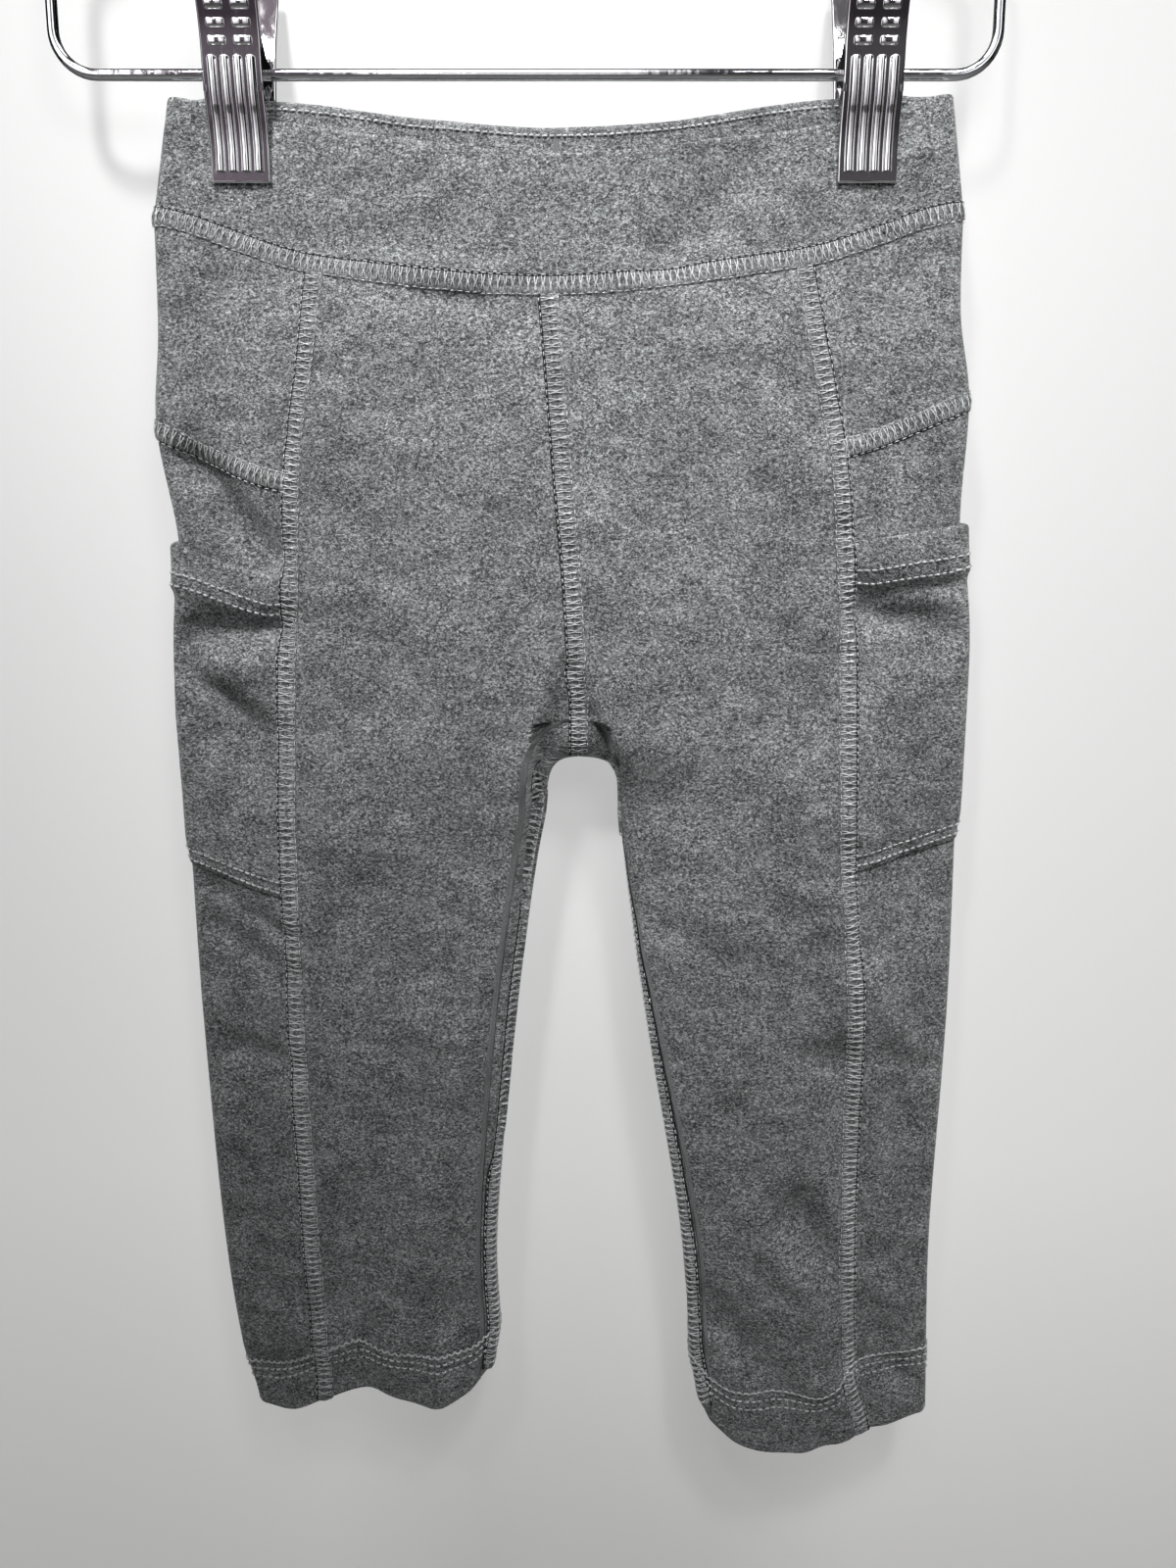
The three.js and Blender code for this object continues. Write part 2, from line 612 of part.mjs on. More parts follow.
// A round wire along a route in the XZ plane, closed at both ends
function wireAlong(route) {
  const positions = [];
  const triangles = [];
  const across = new THREE.Vector3(0, 1, 0);
  route.forEach((point, i) => {
    const before = route[Math.max(0, i - 1)];
    const after = route[Math.min(route.length - 1, i + 1)];
    const incoming = point.clone().sub(before).normalize();
    const outgoing = after.clone().sub(point).normalize();
    const tangent = incoming.add(outgoing).normalize();
    const beside = across.clone().cross(tangent);
    for (let side = 0; side < WIRE_SIDES; side += 1) {
      const angle = 2 * Math.PI * side / WIRE_SIDES;
      const at = point.clone()
        .addScaledVector(beside, WIRE * Math.cos(angle))
        .addScaledVector(across, WIRE * Math.sin(angle));
      positions.push(at.x, at.y, at.z);
    }
  });
  for (let ring = 0; ring < route.length - 1; ring += 1) {
    for (let side = 0; side < WIRE_SIDES; side += 1) {
      const next = (side + 1) % WIRE_SIDES;
      const [a, b] = [ring * WIRE_SIDES + side, ring * WIRE_SIDES + next];
      triangles.push(a, b, a + WIRE_SIDES, b, b + WIRE_SIDES, a + WIRE_SIDES);
    }
  }
  const end = (route.length - 1) * WIRE_SIDES;
  for (let side = 1; side < WIRE_SIDES - 1; side += 1) {
    triangles.push(0, side + 1, side);
    triangles.push(end, end + side, end + side + 1);
  }
  const geometry = new THREE.BufferGeometry();
  geometry.setAttribute('position', new THREE.Float32BufferAttribute(positions, 3));
  geometry.setIndex(triangles);
  return geometry;
}

function solid(geometry) {
  const bare = geometry.clone();
  bare.deleteAttribute('normal');
  bare.deleteAttribute('uv');
  const merged = mergeVertices(bare, 1e-4);
  return new wasm.Manifold(new wasm.Mesh({
    numProp: 3,
    vertProperties: new Float32Array(merged.attributes.position.array),
    triVerts: new Uint32Array(merged.index.array),
  }));
}

function geometryOf(body) {
  const mesh = body.getMesh();
  const geometry = new THREE.BufferGeometry();
  geometry.setAttribute('position', new THREE.Float32BufferAttribute(mesh.vertProperties, 3));
  geometry.setIndex(Array.from(mesh.triVerts));
  return geometry;
}

function rod(radius, length, sides, axis) {
  const geometry = new THREE.CylinderGeometry(radius, radius, length, sides);
  if (axis === 'x') geometry.rotateZ(Math.PI / 2);
  if (axis === 'z') geometry.rotateX(Math.PI / 2);
  return geometry;
}

function addHanger() {
  const inner = FRAME_HALF - CORNER;
  const slopeDegrees = THREE.MathUtils.radToDeg(SHOULDER_SLOPE);
  const half = [
    ...arc(inner, BAR_Z + CORNER, CORNER, -90, 0, 6),
    ...arc(inner, SHOULDER_Z, CORNER, 0, 90 - slopeDegrees, 6),
  ];
  const last = half[half.length - 1];
  half.push(new THREE.Vector3(0.6, 0, last.z + (last.x - 0.6) * Math.tan(SHOULDER_SLOPE)));
  const mirrored = half.map((point) => new THREE.Vector3(-point.x, 0, point.z)).reverse();
  const wire = solid(wireAlong([...mirrored, ...half]));
  const neck = rod(NECK_RADIUS, NECK_TOP_Z - NECK_BOTTOM_Z, 20, 'z');
  neck.translate(0, 0, (NECK_TOP_Z + NECK_BOTTOM_Z) / 2);
  addPart('hanger_frame', geometryOf(wire.add(solid(neck))), CHROME);

  // The hook: a shank on the neck, a bend to the side, and most of a circle about its hanging point
  const radius = HOOK_INNER + WIRE;
  const centreZ = -HOOK_INNER;
  const reach = radius + HOOK_BEND;
  const drop = Math.sqrt(reach ** 2 - HOOK_BEND ** 2);
  const join = THREE.MathUtils.radToDeg(Math.atan2(drop, HOOK_BEND));
  const route = [
    new THREE.Vector3(0, 0, NECK_TOP_Z + SEAM_GAP),
    ...arc(HOOK_BEND, centreZ - drop, HOOK_BEND, 180, 180 - join, 5),
  ];
  const bendEnd = route[route.length - 1];
  const start = THREE.MathUtils.radToDeg(Math.atan2(bendEnd.z - centreZ, bendEnd.x));
  route.push(...arc(0, centreZ, radius, start, 196, 22).slice(1));
  addPart('hanger_hook', geometryOf(solid(wireAlong(route))), CHROME);
}

// Clips: two stamped jaws that turn about the bar, and the spring between them
const JAW_WIDTH = 17.2;
const JAW_SHEET = 1.1;
const JAW_TOP_Z = -121;
const JAW_FLARE = 15;
const JAW_AT_BAR = 7.2;
const EAR_SHEET = 0.9;
const EAR_TOP_Z = -138.5;
const EAR_BOTTOM_Z = -157;
const EAR_REACH = 3.4;
const BAR_HOLE = WIRE + 0.35;
const RIB_COUNT = 4;
const RIB_WIDTH = 1.7;
const RIB_PITCH = 3.7;
const RIB_HEIGHT = 0.8;
const RIB_TOP_Z = -148.6;
const RIB_BOTTOM_Z = -177.6;
const LOZENGE_ROWS = 5;
const LOZENGE_PITCH = 4.2;
const LOZENGE_WIDTH = 5.2;
const LOZENGE_TALL = 2.4;
const LOZENGE_TOP_Z = -126.4;
const SPRING_OUTER = 4.2;
const SPRING_INNER = 2.3;
const SPRING_LENGTH = 9.5;

// How far the jaw's inner face stands from the middle plane, from its tip upwards
const JAW_COLUMNS = ['z', 'inner'];
const JAW_FACE = [
  [CLIP_TIP_Z, PINCH_DEPTH + SEAM_GAP],
  [-171.4, PINCH_DEPTH + SEAM_GAP],
  [-165, JAW_AT_BAR - 3.4],
  [-158, JAW_AT_BAR - 1.2],
  [BAR_Z, JAW_AT_BAR],
  [-144, JAW_AT_BAR + 0.5],
  [-138, JAW_AT_BAR + 1.9],
  [-130, JAW_AT_BAR + 4.8],
  [JAW_TOP_Z, JAW_FLARE],
];

function jawInner(z) {
  const face = named(JAW_COLUMNS, JAW_FACE);
  const i = Math.max(0, face.findLastIndex((each) => each.z < z));
  return mix(face[i].inner, face[i + 1].inner, (z - face[i].z) / (face[i + 1].z - face[i].z));
}

// A box standing on the jaw's outer face, tilted with it
function boxOnJaw(x, lowZ, highZ, width, height) {
  const low = jawInner(lowZ) + JAW_SHEET;
  const high = jawInner(highZ) + JAW_SHEET;
  const sunk = 0.4;
  const corners = [[lowZ, low - sunk], [highZ, high - sunk], [highZ, high + height], [lowZ, low + height]];
  const outline = new THREE.Shape(corners.map(([z, out]) => new THREE.Vector2(-out, z)));
  const geometry = new THREE.ExtrudeGeometry(outline, { depth: width, bevelEnabled: false });
  return standAcross(geometry, x - width / 2);
}

// An outline drawn in Y and Z, extruded along X from a start
function standAcross(geometry, startX) {
  const turn = new THREE.Matrix4().set(0, 0, 1, startX, 1, 0, 0, 0, 0, 1, 0, 0, 0, 0, 0, 1);
  return geometry.applyMatrix4(turn);
}

function jaw(front) {
  const heights = JAW_FACE.map((each) => each[0]);
  const inner = heights.map((z) => new THREE.Vector2(-jawInner(z), z));
  const outer = heights.map((z) => new THREE.Vector2(-jawInner(z) - JAW_SHEET, z)).reverse();
  const plate = new THREE.ExtrudeGeometry(new THREE.Shape([...inner, ...outer]),
    { depth: JAW_WIDTH, bevelEnabled: false, steps: 1 });
  let body = solid(standAcross(plate, -JAW_WIDTH / 2));
  const earX = front ? JAW_WIDTH / 2 - EAR_SHEET : JAW_WIDTH / 2 - 2 * EAR_SHEET - SEAM_GAP;
  const ear = new THREE.Shape([
    new THREE.Vector2(-jawInner(EAR_BOTTOM_Z) - 0.4, EAR_BOTTOM_Z),
    new THREE.Vector2(-EAR_REACH - 1, BAR_Z - EAR_REACH - 0.4),
    new THREE.Vector2(0, BAR_Z - EAR_REACH),
    new THREE.Vector2(EAR_REACH, BAR_Z),
    new THREE.Vector2(0, BAR_Z + EAR_REACH),
    new THREE.Vector2(-jawInner(EAR_TOP_Z) - 0.4, EAR_TOP_Z),
  ]);
  for (const startX of [earX, -earX - EAR_SHEET]) {
    const sheet = new THREE.ExtrudeGeometry(ear, { depth: EAR_SHEET, bevelEnabled: false });
    body = body.add(solid(standAcross(sheet, startX)));
  }
  const hole = rod(BAR_HOLE, 40, 20, 'x');
  hole.translate(0, 0, BAR_Z);
  body = body.subtract(solid(hole));
  for (let rib = 0; rib < RIB_COUNT; rib += 1) {
    const x = (rib - (RIB_COUNT - 1) / 2) * RIB_PITCH;
    for (const [low, high] of [[RIB_BOTTOM_Z, -171.4], [-171.4, -165], [-165, -158], [-158, RIB_TOP_Z]]) {
      body = body.add(solid(boxOnJaw(x, low, high, RIB_WIDTH, RIB_HEIGHT)));
    }
  }
  for (let row = 0; row < LOZENGE_ROWS; row += 1) {
    const highZ = LOZENGE_TOP_Z - row * LOZENGE_PITCH;
    for (const x of [-1, 1].map((hand) => hand * RIB_PITCH)) {
      body = body.add(solid(boxOnJaw(x, highZ - LOZENGE_TALL, highZ, LOZENGE_WIDTH, RIB_HEIGHT)));
    }
  }
  return geometryOf(body);
}

function addClips() {
  for (const half of Object.keys(HALVES)) {
    const front = addPart(`clip_${half}_front_jaw`, jaw(true), CHROME);
    front.position.x = CLIP_X[half];
    const back = addPart(`clip_${half}_back_jaw`, jaw(false), CHROME);
    back.position.x = CLIP_X[half];
    back.rotation.z = Math.PI;
    const tube = solid(rod(SPRING_OUTER, SPRING_LENGTH, 20, 'x'))
      .subtract(solid(rod(SPRING_INNER, SPRING_LENGTH + 2, 20, 'x')));
    const spring = addPart(`clip_${half}_spring`, geometryOf(tube), SPRING_STEEL);
    spring.position.set(CLIP_X[half], 0, BAR_Z);
  }
}

addWaistband();
addPanels();
addHanger();
addClips();

export default group;
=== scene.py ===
# %% [markdown]
# Leggings on a clip hanger, dressed for the picture.
# The CAD model comes in as a fixed frame. It gives each piece its place, and every piece here is
# measured in the same frame, in metres, so nothing is fitted by eye.
# The origin is the point where the hook hangs, the front faces -Y, and +Z is up.

# %% Load the frame
import math
from types import SimpleNamespace

import bpy
import numpy as np
from mathutils import Matrix, Vector
from mathutils.bvhtree import BVHTree


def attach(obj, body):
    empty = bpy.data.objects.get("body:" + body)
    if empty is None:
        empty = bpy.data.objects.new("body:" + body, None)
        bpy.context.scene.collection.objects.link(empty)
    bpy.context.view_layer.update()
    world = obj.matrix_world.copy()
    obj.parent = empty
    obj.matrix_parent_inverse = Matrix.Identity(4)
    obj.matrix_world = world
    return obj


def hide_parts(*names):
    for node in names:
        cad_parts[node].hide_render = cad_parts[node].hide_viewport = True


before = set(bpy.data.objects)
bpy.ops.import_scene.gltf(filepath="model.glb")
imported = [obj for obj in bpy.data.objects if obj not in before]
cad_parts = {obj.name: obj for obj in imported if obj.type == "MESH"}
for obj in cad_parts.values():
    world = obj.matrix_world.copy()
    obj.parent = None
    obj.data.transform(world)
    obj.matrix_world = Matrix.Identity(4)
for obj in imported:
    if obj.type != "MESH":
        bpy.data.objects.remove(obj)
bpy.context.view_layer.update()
MM = 0.001
print("CAD nodes:", len(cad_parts))

# %% [markdown]
# The camera stands close in front of the hips and looks a little down, as a hand-held phone does.
# Because it is so close, the top of the garment is drawn larger than the hems, and the clips are
# seen from below their jaws' flare. A wrong distance would give the wrong taper to the whole
# outline, so the camera is made first and never moved again.

# %% Camera
CAMERA_AT = (0.018, -0.372, -0.2968)
CAMERA_TILT = math.radians(80.5)
CAMERA_LENS = 27.05

camera_data = bpy.data.cameras.new("camera")
camera_data.lens = CAMERA_LENS
camera_data.sensor_width = 36
camera_data.clip_start = 0.01
camera = bpy.data.objects.new("camera", camera_data)
camera.location = CAMERA_AT
camera.rotation_euler = (CAMERA_TILT, 0, 0)
bpy.context.scene.collection.objects.link(camera)
bpy.context.scene.camera = camera
print("camera", tuple(camera.location), "lens", camera_data.lens)

# %% [markdown]
# A hanging garment is a ring of cloth at every height. Each row of the tables is such a ring: where
# its centre, its side seam and its outer fold lie, how deep the front and the back stand out, and
# how round the fold is. The same rows made the CAD solids. Here they are drawn about thirty times
# finer, so that the small folds of soft jersey can be shaped as well.
# Numbers are in millimetres, as a tailor writes them, and become metres when a mesh is made.

# %% Rows of the cloth
ROW_FIELDS = ["centre_z", "seam_z", "fold_z", "back_seam_z", "back_z", "centre_x", "seam_x",
              "fold_x", "back_seam_x", "front", "back", "fold", "inseam"]
ROWS = {
    "right": [
        ["waist", 3, -210.2, -203, -188.9, -193, -198.5, 6.1, -62.7, -110.4, -66, 10, 9.5, 3.6, 0],
        ["hip", 3, -236, -232, -221, -222, -228, 8.2, -65.8, -111.1, -69, 11.5, 11, 4.4, 0],
        ["yoke", 3, -263, -266.3, -249.3, -241, -256, 10.3, -71, -113.2, -74, 12.5, 12, 4.8, 0],
        ["mouth", 3, -290, -294.8, -283, -275, -285, 12.6, -72.6, -108.4, -75, 13, 13, 4.6, 0],
        ["rise", 2, -318, -319, -314, -311, -314, 14.3, -74.7, -110.4, -77, 13, 13, 4.6, 0],
        ["crotch", 4, -338.2, -341, -337, -335, -338, 15, -75.8, -110.9, -78, 12.5, 12.5, 4.6, 0],
        ["thigh", 2, -368, -370, -363, -361, -368, 3.8, -76.1, -110.2, -78, 12, 12, 4.4, 8],
        ["pocket", 4, -392, -394.3, -383.5, -378, -391, -0.5, -76.4, -109.9, -78, 11.5, 11.5, 4.4, 8],
        ["knee", 4, -442, -442, -438, -438, -442, -7, -76.3, -109, -77, 10.5, 10.5, 4.2, 8],
        ["shin", 3, -512, -512, -511, -512, -512, -13.1, -74.8, -106, -75, 9.5, 9.5, 4, 7.4],
        ["hem", 2, -548, -552, -556, -553, -548, -12.4, -73.4, -101.6, -73, 9, 9, 3.8, 7.2],
        ["edge", 0, -563, -572.5, -577, -573, -562, -14.3, -72.3, -96.8, -72, 8.5, 8.5, 3.6, 7.2],
    ],
    "left": [
        ["waist", 3, -210.2, -201, -187.5, -192, -198.5, 6.1, 81.6, 129, 84, 10, 9.5, 3.6, 0],
        ["hip", 3, -236, -230, -216, -217, -228, 8.2, 87, 129.7, 89, 11.5, 11, 4.4, 0],
        ["yoke", 3, -263, -256.5, -241, -233, -256, 10.3, 92.6, 133.5, 95, 12.5, 12, 4.8, 0],
        ["mouth", 3, -290, -283.5, -277.5, -271, -285, 12.6, 95.7, 132.6, 98, 13, 13, 4.6, 0],
        ["rise", 2, -318, -314, -309, -306, -314, 14.3, 98, 135.8, 100, 13, 13, 4.6, 0],
        ["crotch", 4, -338.2, -336, -332, -331, -338, 15, 98.7, 136.2, 101, 12.5, 12.5, 4.6, 0],
        ["thigh", 2, -368, -365, -360, -358, -368, 28.2, 98.9, 136.1, 101, 12, 12, 4.4, -2],
        ["pocket", 4, -392, -386, -375.5, -370, -391, 31.3, 99.9, 136, 102, 11.5, 11.5, 4.4, 0.5],
        ["knee", 4, -442, -441, -436, -436, -442, 38.5, 104.6, 136.4, 106, 10.5, 10.5, 4.2, 4.8],
        ["shin", 3, -512, -512, -511, -511, -512, 49.8, 105.4, 134.4, 107, 9.5, 9.5, 4, 7],
        ["hem", 2, -562, -566, -563, -562, -560, 53.5, 107.9, 135.6, 108, 9.5, 9, 4, 7.4],
        ["edge", 0, -574, -588, -580.5, -582, -576, 56, 113, 136.2, 112, 9.5, 9, 3.8, 7.4],
    ],
}
BAND_ROWS = {
    "right": [
        ["top", 4, -173.5, -162.6, -156.1, -156.6, -161.6, 10, -74.5, -104.4, -74.5, 8.4, 8, 3.3, 0],
        ["waist", 0, -210.2, -203, -188.9, -193, -198.5, 6.1, -62.7, -110.4, -66, 10, 9.5, 3.6, 0],
    ],
    "left": [
        ["top", 4, -173.5, -163.2, -155.3, -155.9, -161.6, 10, 90.6, 124.3, 90.6, 8.4, 8, 3.3, 0],
        ["waist", 0, -210.2, -201, -187.5, -192, -198.5, 6.1, 81.6, 129, 84, 10, 9.5, 3.6, 0],
    ],
}
CENTRE_DEPTHS = [(10.0, 9.5), (11.4, 11.0), (12.2, 12.0), (12.4, 12.6), (12.0, 12.6), (10.6, 11.5)]
HEM_EDGES = {
    "right": [(-96.8, -577), (-84, -578.3), (-72.3, -572.5), (-60, -569), (-45, -573),
              (-33, -575.5), (-23, -572), (-14.3, -563)],
    "left": [(56, -576), (62, -586.5), (70, -591.5), (87, -593.2), (103, -590.5), (113, -586),
             (125, -582.5), (136.2, -580.5)],
}
SIDES = {"right": -1, "left": 1}
print("rows:", {half: len(rows) for half, rows in ROWS.items()})

# %% How fine the cloth is drawn
ROW_FINE = 7
COLUMN_FINE = 5
COUNTS = {"front": 7, "side": 3, "fold": 2, "back": 6, "inner": 6, "band": 9, "grip": 2}
COUNTS = {name: count * COLUMN_FINE for name, count in COUNTS.items()}
SEAM = COUNTS["front"]
BACK_SEAM = SEAM + 2 * (COUNTS["side"] + COUNTS["fold"])
CENTRE_BACK = BACK_SEAM + COUNTS["back"]
INSEAM = CENTRE_BACK + COUNTS["inner"]
print("columns from centre front to inseam:", INSEAM)


# %% Curves through the rows
def smooth(low, high, value):
    part = np.clip((value - low) / (high - low), 0, 1)
    return part * part * (3 - 2 * part)


def mix(a, b, part):
    return a + (b - a) * part


def through(knots, values, at):
    """A smooth curve through values at rising knots, level at both ends."""
    knots = np.asarray(knots, float)
    values = np.asarray(values, float)
    slope = np.zeros(len(knots))
    slope[1:-1] = (values[2:] - values[:-2]) / (knots[2:] - knots[:-2])
    i = np.searchsorted(knots[1:-1], at)
    span = knots[i + 1] - knots[i]
    t = np.clip((at - knots[i]) / span, 0, 1)
    return (values[i] * (1 + 2 * t) * (1 - t) ** 2 + values[i + 1] * t * t * (3 - 2 * t)
            + span * (slope[i] * t * (1 - t) ** 2 - slope[i + 1] * t * t * (1 - t)))


def row_between(rows, index, part):
    """The row between two table rows, on a smooth curve through four of them."""
    before, here, after, beyond = (
        np.array(rows[min(len(rows) - 1, max(0, index + step))][2:], float) for step in (-1, 0, 1, 2))
    leave = (after - before) / 2
    arrive = (beyond - here) / 2
    values = (here * (1 + 2 * part) * (1 - part) ** 2 + after * part * part * (3 - 2 * part)
              + leave * part * (1 - part) ** 2 - arrive * part * part * (1 - part))
    return SimpleNamespace(**dict(zip(ROW_FIELDS, values)))


def stops_to_lengths(stops, counts):
    runs = [np.linspace(a, b, count, endpoint=False) for a, b, count in zip(stops, stops[1:], counts)]
    return np.concatenate(runs + [[stops[-1]]])


print("halfway between waist and hip, the outer fold is at x =",
      round(row_between(ROWS["right"], 0, 0.5).fold_x, 1))


# %% One ring of cloth
def inward_at(length, radius):
    """How far in from the fold's edge a place lies that is `length` along the cloth from it."""
    quarter = radius * math.pi / 2
    return np.where(length < quarter, radius * (1 - np.cos(length / radius)),
                    length - quarter + radius)


def face_depth(inward, radius, depth, half_width):
    near = np.sqrt(np.maximum(0, radius ** 2 - np.minimum(0, inward - radius) ** 2))
    across = np.clip((inward - radius) / (half_width - radius), 0, 1)
    return np.where(inward < radius, near,
                    radius + (depth - radius) * np.sin(across * math.pi / 2))


def ring_points(row, half, half_width, lengths, knots):
    """Lengths run from 0 at the outer fold, positive on the front and negative on the back."""
    side = SIDES[half]
    around = 2 * (math.pi * row.fold + 2 * (half_width - row.fold))
    heights = [row.centre_z, row.seam_z, row.fold_z, row.back_seam_z, row.back_z]
    if len(knots) > len(heights):
        heights.append(row.centre_z)
    turned = np.where(lengths < -around / 2, lengths + around, lengths)
    away = np.abs(turned)
    inward = np.where(away > around / 4, 2 * half_width - inward_at(around / 2 - away, row.fold),
                      inward_at(away, row.fold))
    from_fold = np.minimum(inward, 2 * half_width - inward)
    depth = np.where(turned > 0, row.front, row.back)
    y = face_depth(from_fold, row.fold, depth, half_width) * np.where(turned > 0, -1, 1)
    return np.stack([row.fold_x - side * inward, y, through(knots, heights, -lengths)], -1)


def length_to(row, x):
    return abs(row.fold_x - x) + row.fold * (math.pi / 2 - 1)


def body_ring(row, half, half_width):
    quarter = row.fold * math.pi / 2
    stops = [length_to(row, row.centre_x), length_to(row, row.seam_x), quarter, 0, -quarter,
             -length_to(row, row.back_seam_x), -length_to(row, row.centre_x)]
    lengths = stops_to_lengths(stops, [COUNTS[name] for name in
                                       ("front", "side", "fold", "fold", "side", "back")])
    knots = [-stops[0], -stops[1], 0, -stops[5], -stops[6]]
    return ring_points(row, half, half_width, lengths, knots), lengths


def leg_ring(row, half):
    half_width = abs(row.fold_x - row.centre_x) / 2
    quarter = row.fold * math.pi / 2
    whole = math.pi * row.fold + 2 * (half_width - row.fold)
    stops = [whole - row.inseam, length_to(row, row.seam_x), quarter, 0, -quarter,
             -length_to(row, row.back_seam_x), -(whole - quarter), -(whole + row.inseam)]
    lengths = stops_to_lengths(stops, [COUNTS[name] for name in
                                       ("front", "side", "fold", "fold", "side", "back", "inner")])
    knots = [-stops[0], -stops[1], 0, -stops[5], -stops[6], -stops[7]]
    return ring_points(row, half, half_width, lengths, knots), lengths


test_ring, _ = leg_ring(row_between(ROWS["left"][6:], 2, 0), "left")
print("a ring at the knee has", len(test_ring), "points")

# %% [markdown]
# Soft cloth never hangs as a plain tube. Three things shape it here. The clips press the two faces
# of the waistband together. Their pull and the weight of the legs lay broad folds across the
# thighs, and where a flat seam or a thick pocket hem holds the cloth, it puckers beside them.
# A simulation could find folds, but not the folds of this one pair, so each fold is drawn as a
# line with a width and a depth, and the cloth sinks or rises smoothly along it.

# %% Folds, waves and the clips' grip
CLIP_X = {"right": -83.3, "left": 99.5}
CLIP_TIP_Z = -180.4
PINCH_DEPTH = 2.4
PINCH_HALF_WIDTH = 9.5
PINCH_FADE_IN = 46
PINCH_FADE_OUT = 4.5
PINCH_FADE_DOWN = 52
# from x, z to x, z on the front; half-width; depth, positive into the cloth
FRONT_FOLDS = [
    (-103, -259, -80, -286, 5.5, 2.1),
    (-105, -322, -80, -351, 6.5, 2.7),
    (-104, -404, -78, -420, 5.5, 1.6),
    (-98, -397, -78, -402, 5.0, -1.0),
    (104, -297, 128, -296, 5.0, 1.2),
    (110, -420, 122, -444, 7.0, -1.6),
    (118, -446, 127, -452, 5.5, 1.3),
    (77, -169, 42, -200, 8.0, 2.1),
    (-96, -563, -66, -566, 5.0, 1.0),
    (-60, -548, -56, -575, 5.0, 1.2),
    (-32, -552, -34, -574, 5.0, -1.2),
    (60, -560, 66, -588, 4.5, 1.4),
    (96, -566, 92, -592, 6.0, -1.2),
    (112, -560, 115, -586, 4.5, 1.5),
    (-104, -307, -86, -308, 2.6, 0.7),
    (-100, -313, -94, -316, 2.4, 0.5),
    (-92, -400, -80, -406, 2.2, 0.5),
    (116, -303.5, 130, -303.5, 2.4, 0.6),
    (-55, -216, -56, -260, 8.0, -0.5),
    (-75, -198, -58, -198, 4.0, 0.4),
    (-90, -207, -72, -206, 4.5, 0.5),
    (105, -386, 106, -396, 3.2, -0.5),
    (-40, -420, -62, -470, 8.0, 0.6),
    (-18, -440, -40, -520, 7.0, -0.5),
    (72, -470, 96, -520, 8.0, 0.5),
    (60, -400, 88, -440, 8.0, -0.5),
    (-101, -260, -79, -289, 6.0, 1.2),
    (-107, -312, -78, -309, 6.5, 2.9),
    (-101, -322, -83, -320, 5.5, -1.0),
    (-104, -326, -85, -337, 5.0, 1.0),
    (103, -305, 128, -309, 6.0, 2.8),
    (104, -336, 124, -328, 8.0, -1.0),
    (-105, -391, -78, -406, 4.5, 1.5),
    (101, -379, 124, -408, 5.0, 0.7),
    (-62, -250, -58, -380, 9.0, -1.1),
    (-44, -384, -40, -410, 13.0, 1.2),
    (96, -370, 104, -430, 9.0, -1.0),
    (70, -300, 78, -330, 12.0, 0.8),
    (-32, -213, -14, -215, 3.0, 0.7),
    (-63, -185, -40, -169, 3.5, -0.5),
    (-45, -187, -25, -170, 3.5, -0.5),
    (-28, -187, -14, -173, 3.5, -0.5),
    (-46, -203, -2, -207, 3.0, -0.6),
    (-11, -255, -14, -291, 5.0, -0.8),
    (-64, -212, -61, -300, 3.5, -0.8),
    (-61, -300, -62, -395, 3.5, -0.8),
    (-99, -446, -77, -452, 5.0, 1.5),
    (-46, -549, -24, -451, 9.0, -1.4),
    (-66, -540, -42, -450, 10.0, 2.0),
    (15, -258, 18, -335, 3.5, 0.8),
    (98, -318, 122, -352, 6.0, 1.0),
    (98, -352, 124, -392, 6.0, 1.0),
    (100, -385, 129, -441, 6.0, 1.2),
    (120, -462, 127, -505, 5.0, 1.2),
    (87, -505, 125, -567, 8.0, 2.0),
    (88, -256, 94, -273, 5.0, -0.9),
    (86, -367, 94, -402, 6.0, -0.9),
    (98, -450, 112, -520, 7.0, 1.7),
    (57, -539, 98, -583, 8.0, 1.9),
    (76, -505, 98, -539, 7.0, -1.2),
]
BACK_FOLDS = [
    (-70, -330, -20, -352, 7.0, 1.4),
    (100, -332, 46, -352, 7.0, 1.4),
    (-95, -300, -60, -318, 7.0, 0.9),
    (126, -300, 90, -318, 7.0, 0.9),
    (-84, -210, -50, -260, 9.0, 0.8),
    (98, -210, 66, -260, 9.0, 0.8),
    (-90, -430, -50, -448, 7.0, 0.9),
    (120, -440, 84, -452, 7.0, 0.9),
    (-70, -560, -66, -585, 5.0, 0.9),
    (90, -560, 96, -585, 5.0, 0.9),
]


def fold_depth(folds, x, z):
    total = np.zeros_like(x)
    for x1, z1, x2, z2, width, depth in folds:
        run_x, run_z = x2 - x1, z2 - z1
        on = np.clip(((x - x1) * run_x + (z - z1) * run_z) / (run_x ** 2 + run_z ** 2), 0, 1)
        away = np.hypot(x - x1 - on * run_x, z - z1 - on * run_z)
        total += depth * np.exp(-(away / width) ** 2)
    return total


WAVES = np.random.default_rng(5).uniform(-1, 1, (26, 4))
FOLD_STRENGTH = 1.8
WAVE_STRENGTH = 1.9


def soft_waves(x, z):
    """Low, slow waves that no table lists, for cloth that has been worn and washed."""
    total = np.zeros_like(x)
    for lean, size, phase, strength in WAVES:
        length = 26 + 15 * size
        total += (0.6 + strength) * np.sin(2 * math.pi * (x * math.cos(2 * lean) + z * math.sin(2 * lean))
                                   / length + 7 * phase)
    return 0.045 * total


